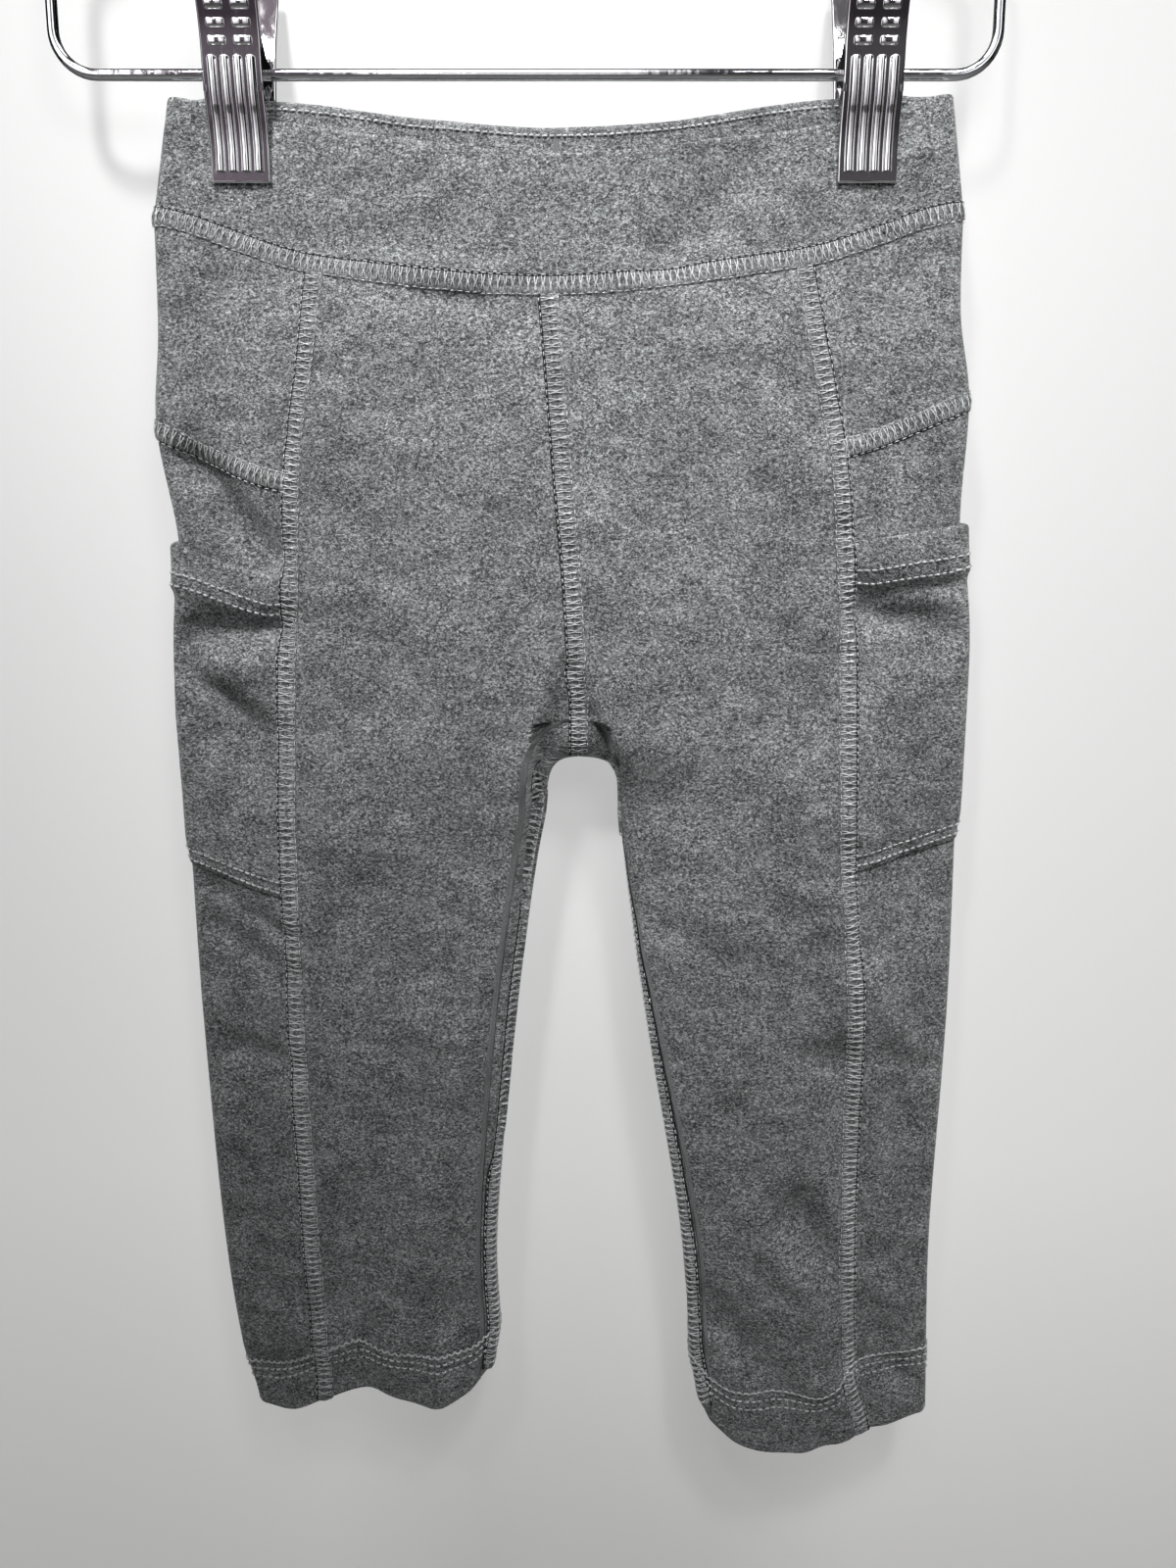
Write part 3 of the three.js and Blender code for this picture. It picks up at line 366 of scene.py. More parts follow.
def pinch(x, z):
    closed = np.zeros_like(x)
    for half, side in SIDES.items():
        outward = (x - CLIP_X[half]) * side
        fade = np.where(outward > 0, PINCH_FADE_OUT, PINCH_FADE_IN)
        across = 1 - smooth(0, 1, (np.abs(outward) - PINCH_HALF_WIDTH) / fade)
        down = 1 - smooth(0, PINCH_FADE_DOWN, CLIP_TIP_Z - 2 - z)
        closed = np.maximum(closed, across * down)
    return closed


# the front folds over the cloth between the legs along these lines of z, x
FORK_RIGHT = ([-480, -446, -402, -378, -358, -344, -330, -316],
              [-14.1, -10.4, -5.2, -3.8, -0.2, 2.0, 4.8, 8.5])
FORK_LEFT = ([-352, -348, -343, -328, -316], [27.0, 25.2, 24.0, 19.2, 15.5])


def gusset(x, z):
    """The cloth between the legs, which lies behind the folds of the front and leans back."""
    behind = smooth(0, 2.6, x - np.interp(z, *FORK_RIGHT)) * smooth(-500, -470, z)
    between = behind * smooth(0, 2.6, np.interp(z, *FORK_LEFT) - x) * (1 - smooth(-322, -314, z))
    step = 2.2 * behind * (1 - smooth(-322, -314, z)) * np.where(z < -350, np.where(x < 20, 1, 0), between)
    return step + between * np.clip(-322 - z, 0, 30) * 0.22


def surface_relief(points):
    """How far the cloth sinks at each point, on whichever face it lies."""
    x, y, z = points[..., 0], points[..., 1], points[..., 2]
    relief = np.where(y < 0, fold_depth(FRONT_FOLDS, x, z), fold_depth(BACK_FOLDS, x, z))
    sunk = FOLD_STRENGTH * relief + WAVE_STRENGTH * soft_waves(x, z) + np.where(y < 0, gusset(x, z), 0)
    return sunk * smooth(0, 6, np.abs(y))


print("deepest front fold:", round(max(fold[5] for fold in FRONT_FOLDS), 1), "mm")

# %% [markdown]
# Each half of the body is one grid: rows down from the waist seam, columns from centre front round
# the outer fold to centre back. Under the crotch the ring of the body has to become the ring of a
# leg. The real cloth is cut in a curve there, so the grid runs across first and then turns down,
# which gives the soft fork between the legs.

# %% The grid of one half
VALLEY_WIDTH = 11
CROTCH_BOTTOM_Z = -350.6
TURN_ACROSS = 2.6
TURN_DOWN = 1.7
TURN_SPREAD = 1.6
BRIDGE_ACROSS = 5
BRIDGE_SHARE = 0.68
CROTCH = 5


def shape_body_ring(points, row, centre):
    x, y, z = points[:, 0], points[:, 1], points[:, 2]
    front = y < 0
    full = np.where(front, row.front, row.back)
    kept = np.where(front, centre[0], centre[1])
    valley = (full - kept) * np.exp(-((x - row.centre_x) / VALLEY_WIDTH) ** 2)
    inward = valley + surface_relief(points)
    lifted = y + np.where(front, inward, -inward)
    gripped = np.sign(y) * np.minimum(np.abs(y), PINCH_DEPTH)
    return np.stack([x, mix(lifted, gripped, pinch(x, z)), z], -1)


def half_grid(half):
    rows = ROWS[half]
    body, other = rows[:CROTCH + 1], ROWS["right" if half == "left" else "left"][:CROTCH + 1]
    grid, lengths, marks = [], [], {}

    def body_at(index, part):
        row = row_between(body, index, part)
        half_width = abs(row.fold_x - row_between(other, index, part).fold_x) / 2
        follow = CENTRE_DEPTHS[min(CROTCH, index + 1)]
        centre = [mix(a, b, part) for a, b in zip(CENTRE_DEPTHS[index], follow)]
        points, cloth = body_ring(row, half, half_width)
        points = shape_body_ring(points, row, centre)
        relief = surface_relief(np.array([[row.centre_x, -centre[0], row.centre_z],
                                          [row.centre_x, centre[1], row.back_z]]))
        points[0] = (row.centre_x, relief[0] - centre[0], row.centre_z)
        points[CENTRE_BACK] = (row.centre_x, centre[1] - relief[1], row.back_z)
        return points, cloth

    for index in range(CROTCH):
        marks[rows[index][0]] = len(grid)
        for step in range(rows[index][1] * ROW_FINE):
            points, cloth = body_at(index, step / (rows[index][1] * ROW_FINE))
            grid.append(np.vstack([points, np.tile(points[-1], (COUNTS["inner"], 1))]))
            lengths.append(np.append(cloth, np.full(COUNTS["inner"], cloth[-1])))

    points, cloth = body_at(CROTCH, 0)
    turn = math.pi * np.arange(1, COUNTS["inner"] + 1) / COUNTS["inner"]
    part = (1 - np.cos(turn)) / 2
    floor = mix(points[-1][2], points[0][2], part)
    under = np.stack([np.full_like(turn, points[0][0]), mix(points[-1][1], points[0][1], part),
                      mix(floor, CROTCH_BOTTOM_Z, np.sin(turn))], -1)
    ring = np.vstack([points, under])
    ring_lengths = np.append(cloth, cloth[-1] - 24 * part)

    legs = rows[CROTCH + 1:]
    edge = HEM_EDGES[half]
    hem = [leg[0] for leg in legs].index("hem")
    high_z = leg_ring(row_between(legs, hem, 0), half)[0][:, 2]
    low_ring = leg_ring(row_between(legs, hem + 1, 0), half)[0]
    wave = through([x for x, _ in edge], [z for _, z in edge], low_ring[:, 0])
    low_z = mix(np.maximum(low_ring[:, 2], wave + 1.2), wave, smooth(0, 3, -low_ring[:, 1]))

    def leg_at(index, part):
        points, cloth = leg_ring(row_between(legs, index, part), half)
        relief = surface_relief(points)
        front = points[:, 1] < 0
        if index >= hem:
            points[:, 2] = mix(high_z, low_z, part if index == hem else 1)
        points[:, 1] += np.where(front, relief, -relief)
        return points, cloth

    thigh, thigh_lengths = leg_at(0, 0)
    column = np.arange(INSEAM + 1)
    beyond = np.where(column > CENTRE_BACK, 1.0,
                      np.maximum(1 - column / SEAM, (column - BACK_SEAM) / COUNTS["back"]))
    turn = smooth(0, 1, beyond) ** TURN_SPREAD
    under = np.sin(math.pi * np.maximum(0, column - CENTRE_BACK) / COUNTS["inner"])
    marks["crotch"] = len(grid)
    for step in range(rows[CROTCH][1] * ROW_FINE):
        part = step / (rows[CROTCH][1] * ROW_FINE)
        bridge = mix(part, 1 - (1 - part) ** BRIDGE_ACROSS, BRIDGE_SHARE)
        across = mix(mix(part, 1 - (1 - part) ** TURN_ACROSS, turn), bridge, under)
        down = mix(part, part ** TURN_DOWN, turn)
        share = np.stack([across, np.full(len(column), smooth(0, 1, part)), down], -1)
        grid.append(mix(ring, thigh, share))
        lengths.append(mix(ring_lengths, thigh_lengths, part))
    for index, (name, steps, *_) in enumerate(legs):
        marks[name] = len(grid)
        fine = steps * ROW_FINE
        for step in range(max(1, fine)):
            points, cloth = leg_at(index, step / fine if fine else 0)
            grid.append(points)
            lengths.append(cloth)
    return overhang(np.array(grid), half), np.array(lengths), marks


def overhang(grid, half):
    """Keeps the front flat as far as the fold where it laps over the cloth between the legs."""
    x, y, z = grid[..., 0], grid[..., 1], grid[..., 2]
    fork, side, low = (FORK_RIGHT, 1, -425) if half == "right" else (FORK_LEFT, -1, -368)
    inside = smooth(-0.8, 1.8, (np.interp(z, *fork) - x) * side)
    inside = inside * (1 - smooth(14, 38, (np.interp(z, *fork) - x) * side))
    reach = smooth(low, low + 28, z) * (1 - smooth(-338, -332, z))
    flat = -(6.4 + 5.8 * smooth(-400, -338, z))
    grid[..., 1] = np.where(y < -0.3, mix(y, np.minimum(y, flat), inside * reach), y)
    return grid


HALVES = {}
for half in SIDES:
    grid, lengths, marks = half_grid(half)
    HALVES[half] = SimpleNamespace(grid=grid, lengths=lengths, marks=marks)
    print(half, "half:", grid.shape[0], "rows of", grid.shape[1], "points")

# %% [markdown]
# The panels are cut from one surface, so the cloth runs on smoothly from panel to panel: points on
# a seam are shared, and a point's normal is the mean of all the faces round it, whichever panel
# they belong to. Each panel then becomes a thin closed shell, with an inner face one cloth
# thickness behind the outer one. Its rim is square and tight where it is sewn and rounded where
# the cloth is turned over, at the hems, the pocket mouths and the top of the waistband.

# %% A surface with shared points
def weld(grids):
    """One list of points for several grids, and each grid again as numbers into that list."""
    stacked = np.concatenate([grid.reshape(-1, 3) for grid in grids])
    _, first, ids = np.unique(np.round(stacked * 1e4).astype(np.int64), axis=0,
                              return_index=True, return_inverse=True)
    ids = ids.reshape(-1)
    numbers, start = [], 0
    for grid in grids:
        count = grid.shape[0] * grid.shape[1]
        numbers.append(ids[start:start + count].reshape(grid.shape[:2]))
        start += count
    return stacked[first], numbers


def block(numbers, rows, columns, half):
    """The four corners of each square of the grid between two rows and two columns."""
    part = numbers[rows[0]:rows[1] + 1, columns[0]:columns[1] + 1]
    quads = np.stack([part[:-1, :-1], part[1:, :-1], part[1:, 1:], part[:-1, 1:]], -1).reshape(-1, 4)
    return quads if SIDES[half] > 0 else quads[:, ::-1]


def point_normals(points, quads):
    normals = np.zeros_like(points)
    a, b, c, d = (points[quads[:, i]] for i in range(4))
    faces = np.cross(c - a, d - b)
    for i in range(4):
        np.add.at(normals, quads[:, i], faces)
    return normals / np.maximum(np.linalg.norm(normals, axis=1, keepdims=True), 1e-9)


cloth_points, cloth_numbers = weld([HALVES[half].grid for half in SIDES])
all_quads = []
for half, numbers in zip(SIDES, cloth_numbers):
    HALVES[half].numbers = numbers
    last = len(numbers) - 1
    crotch_row = HALVES[half].marks["crotch"]
    HALVES[half].quads = np.vstack([
        block(numbers, (0, crotch_row), (0, CENTRE_BACK), half),
        block(numbers, (crotch_row, last), (0, INSEAM), half)])
    all_quads.append(HALVES[half].quads)
cloth_normals = point_normals(cloth_points, np.vstack(all_quads))
print("points on the cloth:", len(cloth_points))


# %% A thin closed shell
RIM_TURNS = (45, 90, 135)


def open_edges(quads):
    edges = {}
    for quad in quads.tolist():
        for i, start in enumerate(quad):
            end = quad[(i + 1) % 4]
            if start == end:
                continue
            if (end, start) in edges:
                del edges[(end, start)]
            else:
                edges[(start, end)] = True
    return list(edges)


def shell(name, quads, points, normals, thickness, flat_uv, free=None, gap=0.15, lift=0.0):
    """thickness is one number for each point, and so is lift. free marks points on turned edges."""
    edges = open_edges(quads)
    used, local = np.unique(quads, return_inverse=True)
    local = local.reshape(quads.shape)
    place = {number: i for i, number in enumerate(used.tolist())}
    into = np.zeros((len(used), 3))
    count = np.zeros(len(used))
    for start, end in edges:
        along = points[end] - points[start]
        for number in (start, end):
            step = np.cross(normals[number], along)
            into[place[number]] += step / max(np.linalg.norm(step), 1e-9)
            count[place[number]] += 1
    length = np.linalg.norm(into, axis=1, keepdims=True)
    into = into / np.maximum(length, 1e-9)
    rim = np.flatnonzero(count)
    deep = np.broadcast_to(np.asarray(thickness, float), len(points))[used][:, None]
    high = np.broadcast_to(np.asarray(lift, float), len(points))[used][:, None]
    loose = (free[used] if free is not None else np.zeros(len(used), bool))[:, None]
    setback = np.where(loose, deep / 2, gap) * (count > 0)[:, None]
    base = points[used] + into * setback
    outer = base + normals[used] * high
    inner = outer - normals[used] * deep
    layers = [outer, inner]
    middle = (outer + inner) / 2
    for turn in RIM_TURNS:
        out = math.sin(math.radians(turn)) * np.where(loose, deep / 2, 0.04)
        up = math.cos(math.radians(turn)) * deep / 2
        layers.append((middle - into * out + normals[used] * up)[rim])
    rim_place = {int(number): i for i, number in enumerate(rim)}
    total, ring = len(used), len(rim)
    faces = []
    for a, b, c, d in local.tolist():
        loop = [a, b, c, d]
        clean = [p for i, p in enumerate(loop) if p != loop[i - 1]]
        if len(clean) > 2:
            faces.append(clean)
            faces.append([p + total for p in reversed(clean)])
    for start, end in edges:
        a, b = place[start], place[end]
        columns = [[p] + [2 * total + k * ring + rim_place[p] for k in range(len(RIM_TURNS))]
                   + [p + total] for p in (a, b)]
        for k in range(len(columns[0]) - 1):
            faces.append([columns[1][k], columns[0][k], columns[0][k + 1], columns[1][k + 1]])
    mesh = bpy.data.meshes.new(name)
    mesh.from_pydata((np.vstack(layers) * MM).tolist(), [], faces)
    uv = flat_uv[used] * MM
    uv = np.vstack([uv, uv] + [uv[rim] - (0, 0.0004 * (k + 1)) for k in range(len(RIM_TURNS))])
    corners = np.empty(len(mesh.loops), np.int32)
    mesh.loops.foreach_get("vertex_index", corners)
    mesh.uv_layers.new(name="cloth").data.foreach_set("uv", uv[corners].ravel())
    return finish_mesh(name, mesh, 55)


def finish_mesh(name, mesh, sharp_degrees):
    mesh.validate()
    mesh.polygons.foreach_set("use_smooth", [True] * len(mesh.polygons))
    mesh.set_sharp_from_angle(angle=math.radians(sharp_degrees))
    mesh.update()
    piece = bpy.data.objects.new(name, mesh)
    bpy.context.scene.collection.objects.link(piece)
    return piece


CLOTH = 1.2
HEM_CLOTH = 2.2
print("cloth", CLOTH, "mm, hems", HEM_CLOTH, "mm")

# %% [markdown]
# The front and back are one panel for each leg, and a separate panel runs down the side round the
# outer fold. It is cut across by a slanting seam below the hip, and the part above it is the
# yoke. The patch pocket lies on the side panel and is caught in both of its long seams, so the
# pocket is thin at those edges and thick at its hemmed mouth.

# %% Fronts, backs, yokes and side panels
def uv_of(half, side):
    flat = np.zeros((len(cloth_points), 2))
    grid, numbers, lengths = half.grid, half.numbers, half.lengths
    flat[numbers.ravel(), 0] = side * (lengths.ravel() + 330)
    flat[numbers.ravel(), 1] = grid[..., 2].ravel()
    return flat


pieces = {}
top_quads = []
for name, half in HALVES.items():
    numbers, marks = half.numbers, half.marks
    last = len(numbers) - 1
    thickness = np.full(len(cloth_points), CLOTH)
    ease = smooth(-5, 8, np.arange(last + 1) - marks["hem"])
    thickness[numbers] = (CLOTH + (HEM_CLOTH - CLOTH) * ease)[:, None]
    hem_edge = np.zeros(len(cloth_points), bool)
    hem_edge[numbers[last]] = True
    flat = uv_of(half, SIDES[name])
    parts = {
        "front": block(numbers, (0, last), (0, SEAM), name),
        "yoke": block(numbers, (0, marks["yoke"]), (SEAM, BACK_SEAM), name),
        "side": block(numbers, (marks["yoke"], last), (SEAM, BACK_SEAM), name),
        "back": np.vstack([block(numbers, (0, marks["crotch"]), (BACK_SEAM, CENTRE_BACK), name),
                           block(numbers, (marks["crotch"], last), (BACK_SEAM, INSEAM), name)]),
    }
    for part, quads in parts.items():
        pieces[f"{part}_{name}"] = shell(f"{part}_{name}_cloth", quads, cloth_points, cloth_normals,
                                         thickness, flat, free=hem_edge)
    top_quads += [parts["front"], parts["yoke"], parts["back"],
                  block(numbers, (marks["yoke"], marks["mouth"]), (SEAM, BACK_SEAM), name),
                  block(numbers, (marks["pocket"], last), (SEAM, BACK_SEAM), name)]
print("panels:", ", ".join(pieces))

# %% Patch pockets
POCKET_LIFT = 0.3
POCKET_CLOTH = 1.2
POCKET_EDGE = 0.25
POCKET_HEM = 2.4
MOUTH_ROWS = 10.6
pocket_tops = []
for name, half in HALVES.items():
    numbers, marks = half.numbers, half.marks
    rows = (marks["mouth"], marks["pocket"])
    quads = block(numbers, rows, (SEAM, BACK_SEAM), name)
    step_in = np.minimum(np.arange(BACK_SEAM - SEAM + 1), np.arange(BACK_SEAM - SEAM, -1, -1))
    step_down = np.arange(rows[1] - rows[0] + 1)
    full = mix(POCKET_HEM, POCKET_CLOTH, smooth(MOUTH_ROWS - 1.6, MOUTH_ROWS, step_down))[:, None]
    sides = smooth(0, 4, step_in)[None, :]
    low = smooth(0, 4, step_down[::-1])[:, None]
    cloth = mix(POCKET_EDGE, full, np.minimum(sides, low))
    rise = np.zeros(len(cloth_points))
    thick = np.full(len(cloth_points), POCKET_EDGE)
    area = numbers[rows[0]:rows[1] + 1, SEAM:BACK_SEAM + 1]
    thick[area] = cloth
    rise[area] = POCKET_LIFT + cloth
    mouth = np.zeros(len(cloth_points), bool)
    mouth[numbers[rows[0], SEAM + 1:BACK_SEAM]] = True
    pieces[f"pocket_{name}"] = shell(f"pocket_{name}_cloth", quads, cloth_points, cloth_normals,
                                     thick, uv_of(half, SIDES[name]) + 40, free=mouth, gap=0.2, lift=rise)
    pocket_tops.append((quads, cloth_points + cloth_normals * rise[:, None]))
print("pocket mouths are", POCKET_HEM, "mm thick")

# %% [markdown]
# The waistband is a wide tube of doubled jersey with the fold at its top. Its front sags between
# the clips and shows the inside of its back. It has no seam at the sides, so it is one ring.

# %% Waistband
BAND_CLOTH = 2.2
BAND_FINE = 7


def band_ring(row, half, half_width):
    side = SIDES[half]
    quarter = row.fold * math.pi / 2
    grip = [length_to(row, CLIP_X[half] + hand * side * PINCH_HALF_WIDTH) for hand in (-1, 1)]
    stops = [length_to(row, row.centre_x), grip[0], grip[1], quarter, 0]
    front = stops_to_lengths(stops, [COUNTS["band"], COUNTS["grip"], COLUMN_FINE, COUNTS["fold"]])
    lengths = np.concatenate([front, -front[-2::-1]])
    knots = [-stops[0], -length_to(row, row.seam_x), 0, length_to(row, row.back_seam_x), stops[0]]
    return ring_points(row, half, half_width, lengths, knots), lengths


band_grids, band_lengths = [], []
for half in SIDES:
    ends = [np.array(row[2:], float) for row in BAND_ROWS[half]]
    twins = [np.array(row[2:], float) for row in BAND_ROWS["right" if half == "left" else "left"]]
    steps = BAND_ROWS[half][0][1] * BAND_FINE
    grid, lengths = [], []
    for step in range(steps + 1):
        part = step / steps
        row = SimpleNamespace(**dict(zip(ROW_FIELDS, mix(ends[0], ends[1], part))))
        twin = SimpleNamespace(**dict(zip(ROW_FIELDS, mix(twins[0], twins[1], part))))
        points, cloth = band_ring(row, half, abs(row.fold_x - twin.fold_x) / 2)
        points = shape_body_ring(points, row, (row.front, row.back))
        relief = surface_relief(np.array([[row.centre_x, -row.front, row.centre_z],
                                          [row.centre_x, row.back, row.back_z]]))
        points[0] = (row.centre_x, relief[0] - row.front, row.centre_z)
        points[-1] = (row.centre_x, row.back - relief[1], row.back_z)
        grid.append(points)
        lengths.append(cloth)
    band_grids.append(np.array(grid))
    band_lengths.append(np.array(lengths))
band_points, band_numbers = weld(band_grids)
band_flat = np.zeros((len(band_points), 2))
for half, grid, lengths, numbers in zip(SIDES, band_grids, band_lengths, band_numbers):
    centre = lengths[:, :1]
    band_flat[numbers.ravel(), 0] = ((centre - lengths) * SIDES[half]).ravel()
    band_flat[numbers.ravel(), 1] = grid[..., 2].ravel()
band_quads = np.vstack([block(numbers, (0, len(numbers) - 1), (0, numbers.shape[1] - 1), half)
                        for half, numbers in zip(SIDES, band_numbers)])
band_normals = point_normals(band_points, band_quads)
band_top = np.zeros(len(band_points), bool)
for numbers in band_numbers:
    band_top[numbers[0]] = True
pieces["waistband"] = shell("waistband_cloth", band_quads, band_points, band_normals,
                            BAND_CLOTH, band_flat, free=band_top)
print("waistband:", len(band_quads), "squares of cloth")

# %% [markdown]
# Flat seams join the panels: the edges are butted, and a machine lays a ladder of soft thread
# over them, with a chain along both borders. From a metre away such a seam is a raised light band.
# Close up each rung is a pair of threads. So a seam has three layers: a slightly crowned band of
# cloth, the paired rungs on it, and the two chains. One stitch is drawn once as a few flat threads,
# and is then carried along the seam, so that every stitch bends with the cloth below it.

# %% The outside of the dressed garment, for sewing on
def joined_tree():
    points = [cloth_points] + [tops for _, tops in pocket_tops] + [band_points]
    groups = [np.vstack(top_quads)] + [quads for quads, _ in pocket_tops] + [band_quads]
    starts = np.cumsum([0] + [len(part) for part in points[:-1]])
    quads = np.vstack([group + start for group, start in zip(groups, starts)])
    return BVHTree.FromPolygons([tuple(p) for p in np.vstack(points)], quads.tolist())


outside = joined_tree()
band_inside = BVHTree.FromPolygons([tuple(p) for p in band_points - band_normals * BAND_CLOTH],
                                   band_quads[:, ::-1].tolist())
REACH = 3.0


def drop(tree, base, normal):
    """The place on the cloth below a point that stands over it."""
    start = Vector(base + normal * REACH)
    hit = tree.ray_cast(start, Vector(-normal), 3 * REACH)[0]
    if hit is None:
        hit = tree.find_nearest(Vector(base))[0]
    return np.array(hit)


print("sewing surface ready")


# %% Paths of the seams
def path_of(points, normals, closed=False):
    points = np.array(points, float)
    normals = np.array(normals, float)
    if closed:
        points = np.vstack([points, points[:1]])
        normals = np.vstack([normals, normals[:1]])
    steps = np.linalg.norm(np.diff(points, axis=0), axis=1)
    keep = np.append(True, steps > 1e-6)
    points, normals = points[keep], normals[keep]
    run = np.append(0, np.cumsum(np.linalg.norm(np.diff(points, axis=0), axis=1)))
    return SimpleNamespace(points=points, normals=normals, run=run, length=run[-1], closed=closed)


def along(path, at):
    """Place, direction, sideways direction and normal at distances along a path."""
    place = np.stack([np.interp(at, path.run, path.points[:, i]) for i in range(3)], -1)
    ahead = np.stack([np.interp(at + 1.2, path.run, path.points[:, i]) for i in range(3)], -1)
    behind = np.stack([np.interp(at - 1.2, path.run, path.points[:, i]) for i in range(3)], -1)
    normal = np.stack([np.interp(at, path.run, path.normals[:, i]) for i in range(3)], -1)
    forward = ahead - behind
    forward /= np.maximum(np.linalg.norm(forward, axis=-1, keepdims=True), 1e-9)
    sideways = np.cross(normal, forward)
    sideways /= np.maximum(np.linalg.norm(sideways, axis=-1, keepdims=True), 1e-9)
    normal = np.cross(forward, sideways)
    return place, forward, sideways, normal


def cloth_path(numbers, closed=False):
    return path_of(cloth_points[numbers], cloth_normals[numbers], closed)


def column_path(half, column, first, last):
    return cloth_path(half.numbers[first:last + 1, column])


def beside_path(half, column, first, last, away):
    """A path on the back panel that keeps a distance from a column of the grid."""
    points, normals = [], []
    for line in half.numbers[first:last + 1, column - 9:column + 1]:
        line = line[::-1]
        run = np.append(0, np.cumsum(np.linalg.norm(np.diff(cloth_points[line], axis=0), axis=1)))
        points.append([np.interp(away, run, cloth_points[line][:, i]) for i in range(3)])
        normals.append([np.interp(away, run, cloth_normals[line][:, i]) for i in range(3)])
    return path_of(points, normals)


def front_path(points):
    """A path on the front through places given as x, z, wherever the cloth lies there."""
    hits = [outside.ray_cast(Vector((x, -40, z)), Vector((0, 1, 0)), 60) for x, z in points]
    return path_of([hit[0] for hit in hits if hit[0]], [hit[1] for hit in hits if hit[0]])


FORK_Z = -330
INSEAM_BACK = {"right": 12.0, "left": 7.0}
INSEAM_BELOW_FORK = 15
right, left = HALVES["right"], HALVES["left"]
waist_numbers = np.concatenate([right.numbers[0, :CENTRE_BACK + 1], left.numbers[0, CENTRE_BACK - 1:0:-1]])
centre_line = [tuple(p) for p in cloth_points[right.numbers[2:right.marks["crotch"] + 1, 0]][:, [0, 2]]]
centre_line = [p for p in centre_line if p[1] > FORK_Z] + [(15.0, z) for z in np.arange(FORK_Z, -350.2, -1.5)]
seams = {"waist_seam": ("waistband", cloth_path(waist_numbers, closed=True)),
         "centre_front_seam": ("front_right", front_path(centre_line)),
         "centre_back_seam": ("back_right", column_path(right, CENTRE_BACK, 2, right.marks["crotch"]))}
for name, half in HALVES.items():
    last = len(half.numbers) - 1
    seams[f"side_seam_{name}"] = (f"side_{name}", column_path(half, SEAM, 2, last))
    seams[f"back_side_seam_{name}"] = (f"side_{name}", column_path(half, BACK_SEAM, 2, last))
    seams[f"inseam_{name}"] = (f"back_{name}", beside_path(
        half, INSEAM, half.marks["crotch"] + INSEAM_BELOW_FORK, last, INSEAM_BACK[name]))
    seams[f"yoke_seam_{name}"] = (f"yoke_{name}", cloth_path(
        half.numbers[half.marks["yoke"], SEAM:BACK_SEAM + 1]))
for name, (_, path) in seams.items():
    print(name, round(path.length), "mm")

# %% A raised band of cloth along a seam
SEAM_HALF = 3.1
BAND_STEP = 1.6
# seams whose painted shade line lies on the other side of their path
SHADE_LINE_TURNED = {"waist_seam", "centre_front_seam", "centre_back_seam", "side_seam_right",
                 "back_side_seam_right", "inseam_right", "yoke_seam_left"}
PROFILE = [(-1.0, 0.05), (-0.86, 0.32), (-0.5, 0.40), (0, 0.42), (0.5, 0.40), (0.86, 0.32), (1.0, 0.05),
           (0.6, -0.25), (-0.6, -0.25)]


def seam_band(name, path, shade_side=1, half_width=SEAM_HALF):
    count = max(4, int(path.length / BAND_STEP))
    at = np.linspace(0, path.length, count, endpoint=not path.closed)
    place, _, sideways, normal = along(path, at)
    points, uv = [], []
    for i in range(count):
        for across, up in PROFILE:
            base = drop(outside, place[i] + sideways[i] * across * half_width, normal[i])
            points.append(base + normal[i] * up)
            # the sign turns the across coordinate, so that the painted shade line falls on the chosen border
            uv.append((at[i], across * half_width * shade_side))
    ring = len(PROFILE)
    faces = []
    for i in range(count if path.closed else count - 1):
        here, after = i * ring, ((i + 1) % count) * ring
        for k in range(ring):
            k2 = (k + 1) % ring
            faces.append([here + k, here + k2, after + k2, after + k])
    if not path.closed:
        faces.append(list(range(ring))[::-1])
        faces.append([(count - 1) * ring + k for k in range(ring)])
    mesh = bpy.data.meshes.new(name)
    mesh.from_pydata((np.array(points) * MM).tolist(), [], faces)
    corners = np.empty(len(mesh.loops), np.int32)
    mesh.loops.foreach_get("vertex_index", corners)
    mesh.uv_layers.new(name="cloth").data.foreach_set("uv", (np.array(uv) * MM)[corners].ravel())
    return finish_mesh(name, mesh, 80)


seam_bands = {name: seam_band(f"{name}_band", path, -1 if name in SHADE_LINE_TURNED else 1)
              for name, (_, path) in seams.items()}
print("seam bands:", len(seam_bands))


# %% One stitch, and a row of them
def thread(route, width, thick):
    """A flat thread of four sides along points given as along, across, up. Closed at both ends."""
    route = np.array(route, float)
    points = []
    for i, point in enumerate(route):
        run = route[min(i + 1, len(route) - 1)] - route[max(i - 1, 0)]
        run = run / np.linalg.norm(run)
        beside = np.array([-run[1], run[0], 0])
        beside = beside / max(np.linalg.norm(beside), 1e-9)
        slim = 0.55 if i in (0, len(route) - 1) else 1.0
        for turn_side, turn_up in ((1, 0), (0, 1), (-1, 0), (0, -1)):
            points.append(point + beside * turn_side * width / 2 * slim
                          + np.array([0, 0, turn_up * thick / 2 * slim]))
    faces = []
    for i in range(len(route) - 1):
        for k in range(4):
            a, b = 4 * i + k, 4 * i + (k + 1) % 4
            faces.append([a, b, b + 4, a + 4])
    faces.append([3, 2, 1, 0])
    end = 4 * (len(route) - 1)
    faces.append([end, end + 1, end + 2, end + 3])
    return points, faces


def stitch_of(threads):
    points, faces = [], []
    for route, width, thick in threads:
        start = len(points)
        more, turned = thread(route, width, thick)
        points += more
        faces += [[start + p for p in face] for face in turned]
    return np.array(points), faces


